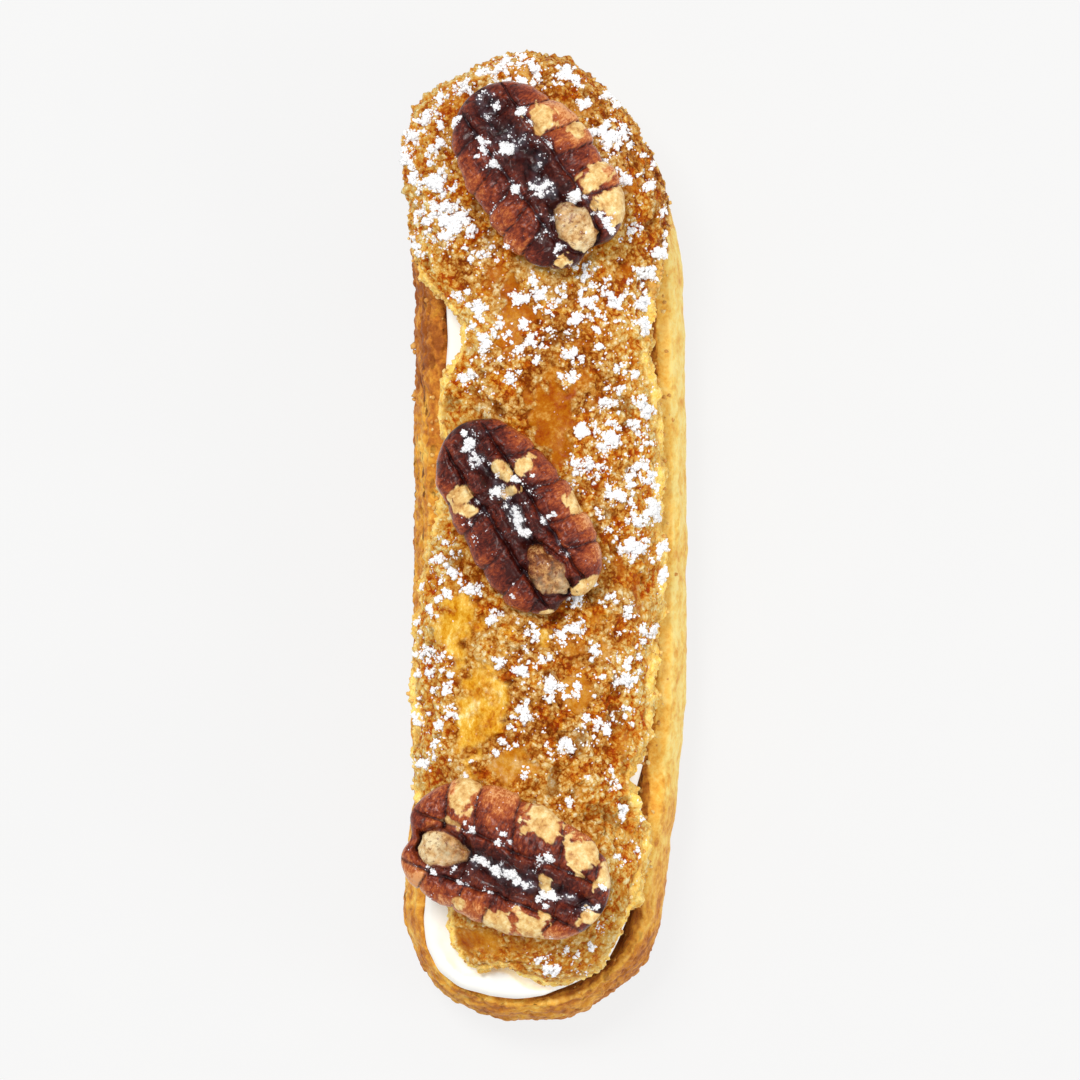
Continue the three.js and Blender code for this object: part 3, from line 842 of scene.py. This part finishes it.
# Each lies on its round back, at x and y in the part's drawing, turned by degrees. Places on it are shares of
# the half width and half length, with the germ end at -1 along. Left and right are creases between lobes,
# germ is across, along and half length, chips across, along and half sizes, sugar across, along and mm.
PECANS = [
    dict(
        name="pecan_head", x=-1.5, y=51, length=28.8, width=18.6, turn=(-6, 3, 36), middle=0.0,
        germ=(0.0, -0.7, 0.3), channel=0.2, shade=0.38, groove=0.3, tone=0.0, end_tone=-0.15, pale=0.85,
        left=(0.62, 0.27, 0.0, -0.25, -0.52, -0.8), right=(0.55, 0.23, -0.03, -0.24, -0.55),
        chips=[
            (0.58, 0.4, 0.2, 0.13), (0.86, 0.08, 0.12, 0.1), (0.68, -0.4, 0.24, 0.12),
            (0.68, -0.72, 0.28, 0.18), (-0.48, -0.88, 0.14, 0.06),
        ],
        sugar=[
            (-0.45, 0.5, 1.6), (-0.5, 0.3, 1.1), (-0.12, 0.36, 1.2), (0.34, 0.58, 1.3), (0.34, 0.44, 0.8),
            (0.12, 0.8, 0.7), (-0.42, -0.05, 1.1), (-0.12, -0.17, 1.2), (-0.32, -0.38, 1.0),
            (-0.56, -0.53, 0.9), (-0.46, -0.74, 1.3), (0.42, -0.8, 1.3), (0.28, -0.44, 0.9),
            (-0.52, 0.84, 0.8),
        ],
    ),
    dict(
        name="pecan_middle", x=-4.2, y=2.9, length=30, width=17, turn=(1, -5, 33), middle=0.0,
        germ=(-0.05, -0.62, 0.3), channel=0.13, shade=0.16, groove=0.42, tone=-0.08, end_tone=0.0,
        pale=0.15, left=(0.5, 0.2, -0.2, -0.52, -0.8), right=(0.78, 0.5, 0.12, -0.25, -0.57),
        chips=[
            (-0.62, 0.43, 0.2, 0.08), (-0.6, 0.27, 0.12, 0.05), (0.62, 0.36, 0.2, 0.08),
            (0.24, 0.42, 0.12, 0.1), (0.18, 0.22, 0.14, 0.05), (0.93, -0.2, 0.1, 0.09),
            (0.38, -0.96, 0.24, 0.1), (-0.5, -0.97, 0.14, 0.06),
        ],
        sugar=[
            (-0.05, 0.78, 1.0), (-0.1, 0.68, 1.0), (0.14, 0.55, 0.6), (-0.12, 0.3, 0.8), (0.3, 0.29, 1.0),
            (-0.02, -0.05, 0.9), (-0.04, -0.15, 0.8), (0.36, 0.05, 0.9), (0.33, -0.12, 0.7),
            (0.52, -0.16, 0.7), (-0.36, -0.05, 0.6), (-0.72, 0.18, 0.6), (-0.66, 0.03, 0.6),
            (-0.7, -0.55, 0.7), (-0.52, -0.62, 0.6), (0.66, 0.23, 0.6),
        ],
    ),
    dict(
        name="pecan_tail", x=-5.6, y=-46, length=30.8, width=18.6, turn=(9, 3, -111), middle=0.14,
        germ=(0.16, -0.6, 0.26), channel=0.17, shade=0.32, groove=0.3, tone=0.06, end_tone=0.3, pale=0.7,
        left=(0.8, 0.46, -0.02, -0.42, -0.7), right=(0.62, 0.04, -0.26, -0.64),
        chips=[
            (-0.55, 0.62, 0.24, 0.15), (-0.34, 0.92, 0.2, 0.07), (0.3, 0.92, 0.14, 0.1),
            (-0.78, 0.2, 0.22, 0.17), (-0.7, -0.58, 0.34, 0.11), (0.06, 0.42, 0.1, 0.06),
            (0.76, 0.42, 0.22, 0.16), (0.9, 0.12, 0.16, 0.12), (0.86, -0.26, 0.1, 0.06),
        ],
        sugar=[
            (0.2, 0.55, 1.0), (0.3, 0.45, 1.3), (0.16, 0.3, 1.1), (0.14, 0.12, 0.9), (0.12, -0.05, 0.9),
            (0.06, -0.2, 1.0), (-0.14, 0.33, 0.9), (-0.34, 0.38, 0.8), (-0.5, -0.1, 0.8),
            (-0.32, -0.08, 0.7), (-0.32, -0.4, 1.2), (-0.66, -0.44, 0.8), (0.42, -0.32, 1.0),
            (0.5, -0.66, 0.9), (0.46, -0.06, 0.8),
        ],
    ),
]
PECAN_BACK = 4.2
PECAN_FACE = 3.6
PECAN_SINK = 2.1
FULLNESS = 2.6
GERM_FULLNESS = 4
GATHER = 0.35
CHANNEL_DEPTH = 0.58
GROOVE_AT = 0.38
GROOVE_WIDTH = 0.045
LOBE_DEPTH = 0.4
LOBE_ROUND = 0.26
LOBE_SLANT = 0.16
SCALLOP = 0.09
GERM_WIDTH = 0.3
GERM_HEIGHT = 0.7
GERM_BLUNT = 4
CLEFT = 0.09
CLEFT_WIDTH = 0.22
PECAN_RINGS = 180
FACE_STEPS = 156
BACK_STEPS = 40
# Kernels rest this deep in the crumble.
PECAN_BEDDING = 0.3


def gathered(step):
    return step * (1 + GATHER * (1 - step * step))


def halves(spec):
    return spec["width"] / 2, spec["length"] / 2


def cleft(plan, along, spec):
    """How far along each point lies once the germ end is notched."""
    notch = dip(plan - spec["germ"][0], CLEFT_WIDTH) * ramp(-along, 0.6, 1.0)
    return along * (1 - CLEFT * notch)


def lobes(along, across, spec):
    """How puffed up an outer lobe is at each place, 0 in its creases, and a number of the lobe's own."""
    slanted = along + LOBE_SLANT * (abs(across) - 0.6)
    puff = np.ones_like(along)
    own = np.zeros_like(along)
    for side, places in ((-1, spec["left"]), (1, spec["right"])):
        ends = np.array([-1.12, *sorted(places), 1.12])
        number = np.clip(np.searchsorted(ends, slanted) - 1, 0, len(ends) - 2)
        share = np.clip((slanted - ends[number]) / (ends[number + 1] - ends[number]), 0, 1)
        here = np.sign(across) == side
        puff = np.where(here, (4 * share * (1 - share)) ** LOBE_ROUND, puff)
        key = [number, np.full_like(number, side + 2), np.full_like(number, spec["length"] * 10)]
        own = np.where(here, lattice(np.stack(key, axis=1), 155), own)
    return puff, own


def chipping(flat, spec):
    """1 where the skin is off and the pale meat shows: ragged flakes inside the given ovals."""
    half_width, half_length = halves(spec)
    most = np.full(len(flat), OUT_OF_REACH)
    for across, along, half_across, half_along in spec["chips"]:
        u = (flat[:, 0] - across * half_width) / (half_across * half_width)
        v = (flat[:, 1] - along * half_length) / (half_along * half_length)
        most = np.maximum(most, 1.1 - (u**4 + v**4) ** 0.25)
    _, own = cells(warp(flat, 1.0, 0.3, 180), 1.5, 183)
    ragged = 0.6 * (own - 0.5) + 0.3 * noise(flat, 0.8, 187)
    return ramp(most + ragged, 0.06, 0.16)


def pecan_grid():
    """Ring by ring along a kernel: how far along and across, how far down the back, and what is face."""
    steps = gathered(np.linspace(-1, 1, PECAN_RINGS + 2)[1:-1])
    face = gathered(np.linspace(-1, 1, FACE_STEPS + 1))
    back_angle = np.linspace(0, np.pi, BACK_STEPS + 1)[1:-1]
    across_row = np.concatenate([face, np.cos(back_angle)])
    lift_row = np.concatenate([np.zeros(len(face)), -np.sin(back_angle)])
    along, across = (grid.ravel() for grid in np.meshgrid(steps, across_row, indexing="ij"))
    on_face = np.arange(len(across_row)) <= FACE_STEPS
    return along, across, np.tile(lift_row, PECAN_RINGS), np.tile(on_face, PECAN_RINGS)


def pecan_surface(spec):
    """Points of a kernel at the origin, and the numbers that its colours and sugar need."""
    along, across, lift, on_face = pecan_grid()
    half_width, half_length = halves(spec)
    full = np.sqrt(1 - abs(along) ** np.where(along < 0, GERM_FULLNESS, FULLNESS))
    plan = across * full
    flat = np.stack([plan * half_width, along * half_length, np.full(len(along), spec["length"])], axis=1)
    bent = warp(warp(flat, 4.0, 0.5, 160), 1.5, 0.2, 163)
    beside, lengthwise = bent[:, 0] / half_width, bent[:, 1] / half_length
    puff, own = lobes(lengthwise, beside, spec)
    aside = abs(beside - spec["middle"])
    outer = ramp(aside, 0.24, 0.5)
    germ_across, germ_along, germ_length = spec["germ"]
    uneven_germ = 1 + summed(flat, 165, (0.12, 2.4), (0.08, 0.9))
    germ_away = np.hypot((along - germ_along) / germ_length, (plan - germ_across) / GERM_WIDTH) * uneven_germ
    behind = ramp(germ_along - along, 0.0, 0.2) * ramp(germ_away, 1.0, 1.25)
    # Depths, as shares of the face's height.
    channel = dip(aside, spec["channel"]) * (1 - 0.8 * behind)
    midway = ramp(1.02 - abs(along + 0.03), 0, 0.12)
    groove = np.exp(-abs(aside - GROOVE_AT) / GROOVE_WIDTH) * midway
    fold = np.exp(-abs(noise(bent * (0.5, 1, 1), 2.6, 164)) / 0.07) * (1 - 0.7 * outer)
    small_fold = np.exp(-abs(noise(bent * (0.8, 1, 1), 1.5, 169)) / 0.08)
    depth = CHANNEL_DEPTH * channel + spec["groove"] * groove + 0.22 * fold + 0.1 * small_fold
    depth += LOBE_DEPTH * (1 - puff) * outer * (0.7 + 0.6 * own) + 0.2 * (0.5 - own) * outer
    # The germ stands up from the channel, with a moat round it.
    nub = 1 - CHANNEL_DEPTH + GERM_HEIGHT * np.sqrt(np.maximum(0, 1 - germ_away**GERM_BLUNT))
    knobbly = lerp(0.4, 0.14, spec["pale"]) * layered(flat, 1.8, 167, 3, 0.6)
    nub = np.where(germ_away < 1, nub + knobbly, 0)
    germ = ramp(nub - (1 - depth), -0.04, 0.06) * on_face
    moat = ramp(germ_away, 0.9, 1.0) * (1 - ramp(germ_away, 1.02, 1.25))
    depth += 0.2 * moat * (1 - 0.6 * outer)
    # Form
    chip = chipping(flat, spec) * on_face * (1 - germ)
    _, facet = cells(bent * (0.7, 1, 1), 2.4, 168)
    knob = 0.1 * noise(flat, 3.4, 170) + 0.06 * noise(bent, 1.6, 171) + 0.16 * (facet - 0.5) * (1 - germ)
    wrinkle = 0.035 * noise(bent * (0.4, 1, 1), 1.0, 172) + 0.012 * noise(flat, 0.55, 173)
    share = np.maximum(1 - depth, nub) + knob + wrinkle * (1 - 0.5 * germ) - 0.05 * chip
    dome = PECAN_FACE * full**0.7 * np.sqrt(np.maximum(0, 1 - abs(across) ** 3))
    z = np.where(on_face, dome * share, PECAN_BACK * full * lift)
    nip = 0.06 * (own - 0.5) - SCALLOP * (1 - puff)
    reach = 1 + summed(flat, 174, (0.045, 2.2), (0.015, 0.9)) + nip * abs(across) * outer
    points = np.stack([half_width * plan * reach, half_length * cleft(plan, along, spec), z], axis=1)
    # Colours
    crease = ramp(1 - puff, 0.2, 0.7) * outer
    shade = 1 - ramp(aside, 0.5 * spec["shade"], 1.3 * spec["shade"])
    shade = shade * (1 - 0.6 * ramp(along, 0.45, 0.8)) * (1 - behind)
    # Darker the deeper the face lies, and in thin lines along the creases: partly the skin's own dark
    # hollows, partly painted shade.
    sunk = ramp(depth + 0.2 * layered(flat, 2.0, 176), 0.25, 0.66)
    blackened = ramp(shade + 0.7 * layered(flat, 2.0, 178, 3, 0.7) + 0.4 * (facet - 0.5), 0.4, 0.75)
    lined = 0.85 * ramp(1 - puff, 0.36, 0.6) * outer + 0.7 * ramp(groove, 0.45, 0.8)
    dark = np.clip(sunk + 0.6 * blackened + lined, 0, 0.97) * (1 - germ) * (1 - 0.95 * chip)
    tone = 0.16 + 0.46 * ramp(abs(plan), 0.45, 0.95) + 0.4 * (own - 0.4) * outer
    tone += 0.3 * (puff - 0.75) * outer + 0.3 * (facet - 0.5)
    tone += spec["tone"] + spec["end_tone"] * ramp(-along, 0.4, 0.8)
    facts = dict(
        dark=dark * on_face,
        chip=chip,
        germ=germ,
        tone=tone,
        pale=np.clip(spec["pale"] - 1.6 * (along - germ_along), 0, 1),
        hollow=np.clip(channel + 0.8 * groove + 0.5 * crease, 0, 1) * on_face * (1 - germ),
        face=on_face * full,
    )
    return points, flat, facts


def ring_faces(rings, count):
    """Quads between rings and fans to the two end points, which come after them."""
    pairs = [(i, (i + 1) % count) for i in range(count)]
    last = (rings - 1) * count
    faces = [(k + a, k + b, k + b + count, k + a + count) for k in range(0, last, count) for a, b in pairs]
    for a, b in pairs:
        faces += [(rings * count, b, a), (rings * count + 1, last + a, last + b)]
    return faces


def make_pecan(spec, cad_lid, crust, material, draw):
    """Makes the kernel, and returns the sugar on it."""
    local, flat, facts = pecan_surface(spec)
    ends = np.outer(cleft(np.zeros(2), np.array([-1, 1]), spec), [0, spec["length"] / 2, 0])
    local = np.concatenate([local, ends])
    flat = np.concatenate([flat, ends])
    facts = {key: np.concatenate([values, [0, 0]]) for key, values in facts.items()}
    turn = np.array(Euler([math.radians(a) for a in spec["turn"]], "XYZ").to_matrix())
    x, y = np.array([spec["x"], spec["y"]]) + SHIFT
    level = drop(cad_lid, x, y)[0].z + PECAN_BACK - PECAN_SINK
    points = local @ turn.T + (x, y, level)
    for i in np.nonzero(points[:, 2] < level)[0]:
        landing, _ = drop(crust, points[i, 0], points[i, 1])
        if landing is not None:
            points[i, 2] = max(points[i, 2], landing.z - PECAN_BEDDING)
    mesh = bpy.data.meshes.new(spec["name"])
    count = (len(points) - 2) // PECAN_RINGS
    mesh.from_pydata((points * MM).tolist(), [], ring_faces(PECAN_RINGS, count))
    cover = pecan_sugar(spec, flat, facts)
    film = 0.3 * ramp(cover, -0.9, 0.2) * facts["hollow"]
    dust = 1.3 * ramp(cover, -1.0, 0.4) ** 2 * (facts["face"] > 0.1)
    kept = {key: facts[key] for key in ("dark", "chip", "germ", "tone", "pale")}
    set_numbers(mesh, film=film, dust=dust, local=local + (0, 0, spec["length"]), **kept)
    sugar = sprinkle(draw, points, normals_of(mesh), cover, PECAN_GRAINS, PECAN_GRAIN)
    made = piece(spec["name"] + "_half", mesh, material)
    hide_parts(spec["name"])
    return sugar


def turned(draw):
    """A random rotation."""
    return np.array(Euler([draw.uniform(0, 2 * math.pi) for _ in range(3)]).to_matrix())


# Sugar

# The larger flakes on the lid, by size: x and y in the part's drawing.
SUGAR_FLAKES = {
    0.8: [(12.9, -44.6)],
    0.9: [(3.4, -58.8), (6.4, -57.9), (7, -56.2)],
    1.0: [(6.2, 56.9), (12.2, 43.2), (6.5, -33.5), (6.5, -16.2), (-1.3, -59.5), (-12.5, -2.3)],
    1.1: [(5.4, 60.9), (-6.5, -17.9)],
    1.2: [
        (-18.6, 58.8), (-11.5, 63.8), (-2, 67), (8.9, 62.5), (11.2, 50.6), (-1.6, 27.5), (4.1, 30.7),
        (17.2, 46), (17.2, 41.9), (4.4, 7), (-7.4, -11.4), (-3, -25.4), (0.6, -16.9), (-15.5, -27.1),
        (-17.6, -32), (-11.2, -32.7), (3, -37.3), (11.9, -10.1), (2.3, -29.3), (0.6, -61.2), (-14.3, -0.9),
        (-15.8, -3.1),
    ],
    1.3: [(-14.3, 62.1), (-1.3, 63.9), (15.8, 39.9), (16.9, 3), (3.4, 22.4), (-18.3, -25.4), (-13.3, -5.5)],
    1.4: [
        (-15.5, 55.2), (3, 64.9), (-17.9, 41), (-12.1, 34.2), (13.6, 30), (13.3, 10.1), (11.9, -0.6),
        (16.9, -5.5), (9.4, -8.7), (4.1, -8.7), (-5, 22.4), (10.9, 24.6), (8, 18.7), (14.1, 18),
        (12.3, 15.2), (14.5, 13), (-10.5, -7), (-16.5, -20), (-3.7, -19), (3, -30), (4.4, -13.3),
        (14.8, -13.6), (8.4, -27.5), (11.2, -25.4),
    ],
    1.5: [(-9.4, 31.8)],
    1.6: [
        (-5.1, 66.2), (13.6, 37.1), (14.1, 33.2), (11.9, 7.7), (14.8, 4.1), (-10.9, 21.7), (12.6, 22.7),
        (4.8, 14.5), (0.1, -21.2), (-5.5, -29.8), (-3, -34.2), (9.1, -33.9),
    ],
    1.8: [
        (-18.6, 56.7), (-8.7, 39.6), (5.5, 36.8), (12.6, 2), (13.3, -2), (16.5, -2), (10.5, 13),
        (1.6, -13.8), (-16.2, -17.2), (-14, -25.4), (4.1, -22.2), (7, -26.8),
    ],
    2.0: [(-15.1, 50.3), (-16.5, 45.6)],
    2.2: [(-8.4, 27.5), (-0.4, 33.5), (6.2, 9.4), (-2.7, -13.6), (11.2, -20.4)],
    2.4: [(9.4, 56.9)],
    2.6: [(9.4, 5.8)],
    2.8: [(8.4, 13.3)],
    3.0: [(-12.9, 43.7)],
    3.2: [(9.4, 33.2)],
}
# Where small specks lie as well: x, y, half sizes and how densely.
SUGAR_ZONES = [
    (-16, 50, 6, 14, 0.75), (-3, 64, 12, 5, 0.8), (11, 52, 7, 13, 0.68), (2, 31, 14, 9, 0.9),
    (11, 12, 7, 20, 0.85), (-10, 23, 6, 6, 0.6), (8, -18, 10, 16, 0.55), (-16, -14, 4, 20, 0.9),
    (0, -22, 10, 14, 0.6), (2, -58, 10, 8, 0.25), (12, -42, 4, 9, 0.6),
]
# A sugar grain has eight sides.
GRAIN = np.array([(1, 0, 0), (-1, 0, 0), (0, 1, 0), (0, -1, 0), (0, 0, 1), (0, 0, -1)], float)
GRAIN_FACES = np.array(
    [(0, 2, 4), (2, 1, 4), (1, 3, 4), (3, 0, 4), (2, 0, 5), (1, 2, 5), (3, 1, 5), (0, 3, 5)]
)
LID_GRAIN = 0.21
PECAN_GRAIN = 0.13
GRAIN_BOUNDS = (0.1, 0.45)
GRAIN_SCATTER = 0.13
HEAP = 0.2
LID_GRAINS = 16600
PECAN_GRAINS = 2750
FLAT = (1, 1, 0)
# Flakes are clots of smaller lumps.
NODULE = 0.85
NODULE_STRETCH = (1, 0.8, 1)
# Cover where no sugar can lie.
BARE = -2


def ragged_flakes(places, flakes, seed):
    """Above 0 inside flakes with torn outlines: each flake is its x, y and size."""
    most = np.full(len(places), OUT_OF_REACH)
    for x, y, size in flakes:
        most = np.maximum(most, (size - oval(places, x, y)) / max(size, 1.2))
    torn = summed(places, seed, (0.6, 1.7), (0.8, 0.85), (0.5, 0.5))
    near, _ = cells(warp(places, 0.8, 0.2, seed + 3) * NODULE_STRETCH, NODULE, seed + 6)
    return most - 0.2 + torn - 0.6 * ramp(near, 0.3, 0.65)


def lid_sugar(points, top):
    """How much sugar lies at each point of the lid: none below -1, a flake above 0."""
    flat = points * FLAT
    flat[:, :2] -= SHIFT
    flakes = [(x, y, size) for size, places in SUGAR_FLAKES.items() for x, y in places]
    cover = ragged_flakes(flat, flakes, 200)
    density = np.zeros(len(points))
    for *zone, most in SUGAR_ZONES:
        density = np.maximum(density, most * (1 - ramp(oval(flat, *zone), 0.5, 1.2)))
    drift = summed(flat, 210, (0.55, 2.6), (0.85, 1.1), (0.8, 0.55))
    cover = np.maximum(cover, drift - lerp(1.6, 0.4, density))
    return np.where(top > 0.3, cover, BARE)


def pecan_sugar(spec, flat, facts):
    """The same on a kernel, where it gathers in the channel and the creases."""
    half_width, half_length = halves(spec)
    flakes = [(across * half_width, along * half_length, size) for across, along, size in spec["sugar"]]
    cover = ragged_flakes(flat, flakes, int(spec["length"] * 10)) + 0.7 * (facts["hollow"] - 0.5)
    drift = summed(flat, 220, (0.7, 1.9), (0.7, 0.8)) - lerp(1.15, 0.58, facts["hollow"])
    return np.where(facts["face"] > 0.35, np.maximum(cover, drift), BARE)


def sprinkle(draw, points, normals, cover, count, size):
    """Corners and triangles of grains let fall on points: none where cover is low, heaps where it is high."""
    chance = ramp(cover, -0.35, 0.7) ** 2
    chosen = draw.choice(len(points), count, p=chance / chance.sum())
    radius = np.clip(size * np.exp(draw.normal(0, 0.4, count)), *GRAIN_BOUNDS)
    heap = HEAP * ramp(cover[chosen], 0.2, 1.0) * draw.uniform(0, 1, count)
    middle = points[chosen] + draw.normal(0, GRAIN_SCATTER, (count, 3))
    middle += normals[chosen] * (0.3 * radius + heap)[:, None]
    lumps = GRAIN[None] * (1 + 0.25 * draw.normal(size=(count, len(GRAIN), 1)))
    turns = np.stack([turned(draw) for _ in range(count)])
    corners = np.einsum("nij,nkj->nki", turns, lumps) * radius[:, None, None] + middle[:, None]
    faces = GRAIN_FACES[None] + len(GRAIN) * np.arange(count)[:, None, None]
    return corners.reshape(-1, 3), faces.reshape(-1, 3)


# Crumbs

# A little more than the side of a twenty-sided ball of radius 1.
BALL_EDGE = 1.06


def icosphere():
    """Corners and faces of a twenty-sided ball of radius 1."""
    golden = (1 + math.sqrt(5)) / 2
    corners = []
    for a, b in product((-1, 1), (-golden, golden)):
        corners += [(0, a, b), (a, b, 0), (b, 0, a)]
    corners = np.array(corners) / math.hypot(1, golden)
    close = np.linalg.norm(corners[:, None] - corners[None], axis=2) < BALL_EDGE
    faces = []
    for i, j, k in combinations(range(len(corners)), 3):
        if close[i, j] and close[j, k] and close[i, k]:
            outward = np.linalg.det(corners[[i, j, k]]) > 0
            faces.append((i, j, k) if outward else (i, k, j))
    return corners, np.array(faces)


# Crumbs that stick to the boat's left side: y, z and radius, in the part's drawing.
STRAY_CRUMBS = [(27.1, 10, 0.62), (26.3, 9.6, 0.42), (20.3, 10, 0.56), (19.5, 9.4, 0.4)]
STRAY_TONE = 0.45
STRAY_PROUD = 0.4
# Crumbs on the torn edge, on the head's rim and fallen on the boat: how many, how proud they sit in radii,
# and ranges of radius and tone.
EDGE_CRUMBS = (320, 0.2, (0.12, 0.36), (0.35, 1.0))
RIM_CRUMBS = (150, 0.1, (0.12, 0.34), (0.3, 0.9))
FALLEN_CRUMBS = (120, 0.3, (0.15, 0.38), (0.3, 0.9))
# The head's rim begins this far along, and crumbs fall this far out from the edge.
RIM_FROM = 30
RIM_WIDTH = 0.5
FALL = (0.2, 2.4)


def make_crumbs(lid_mesh, base_tree):
    draw = np.random.default_rng(23)
    corners, faces = icosphere()
    parts = []
    tones = []

    def crumb(place, normal, proud, radius, tone):
        uneven = 1 + 0.25 * draw.normal(size=(len(corners), 1))
        middle = np.array(place) + np.array(normal) * proud * radius
        parts.append(((corners * uneven) @ turned(draw).T * radius + middle, faces))
        tones.append(np.full(len(corners), tone))

    for y, z, radius in STRAY_CRUMBS:
        spot, normal, _, _ = base_tree.ray_cast(Vector((-SKY, y + SHIFT[1], z)), Vector((1, 0, 0)))
        crumb(spot, normal, STRAY_PROUD, radius, STRAY_TONE)
    points, normals = points_of(lid_mesh), normals_of(lid_mesh)
    torn = np.empty(len(points), np.float32)
    lid_mesh.attributes["torn"].data.foreach_get("value", torn)
    seen = normals[:, 2] > -0.3
    edge = np.nonzero((torn > 0.35) & seen)[0]
    rim = np.nonzero((inward(points) < RIM_WIDTH) & (points[:, 1] > RIM_FROM) & seen)[0]
    for places, (count, proud, radii, shades) in ((edge, EDGE_CRUMBS), (rim, RIM_CRUMBS)):
        for i in draw.choice(places, count):
            crumb(points[i], normals[i], proud, draw.uniform(*radii), draw.uniform(*shades))
    count, proud, radii, shades = FALLEN_CRUMBS
    for i in draw.choice(edge, count):
        x, y = points[i, :2] + normals[i, :2] * draw.uniform(*FALL)
        landing, normal = drop(base_tree, x, y)
        if landing is not None and normal.z > 0.4:
            crumb(landing, normal, proud, draw.uniform(*radii), draw.uniform(*shades))
    mesh = joined(parts)
    set_numbers(mesh, tone=np.concatenate(tones))
    piece("crumbs", mesh, crumb_material())


# Assembly

place_camera()
place_stage()
base = make_base()
make_cream()
lid_mesh, lid_normals, sugared = make_lid()
lid_tree = tree_of(lid_mesh)
cad_lid = tree_of(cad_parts["lid"].data)
lid_points = points_of(lid_mesh)
cover = lid_sugar(lid_points, sugared)
head_left = ramp(lid_points[:, 1], 24, 40) * (1 - ramp(lid_points[:, 0], -8, 0))
dust = (0.9 + 0.1 * head_left) * ramp(cover, -1.1 - 0.15 * head_left, 0.5) ** 1.5 * sugared
set_numbers(lid_mesh, dust=dust)
sugar_draw = np.random.default_rng(41)
sugar_parts = [sprinkle(sugar_draw, lid_points, lid_normals, cover, LID_GRAINS, LID_GRAIN)]
pecan_stuff = pecan_material()
for spec in PECANS:
    sugar_parts.append(make_pecan(spec, cad_lid, lid_tree, pecan_stuff, sugar_draw))
make_crumbs(lid_mesh, tree_of(base.data))
lid = piece("crust_lid", thinned(lid_mesh, LID_TRIANGLES), crust_material())
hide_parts("lid")
piece("sugar", joined(sugar_parts), sugar_material())
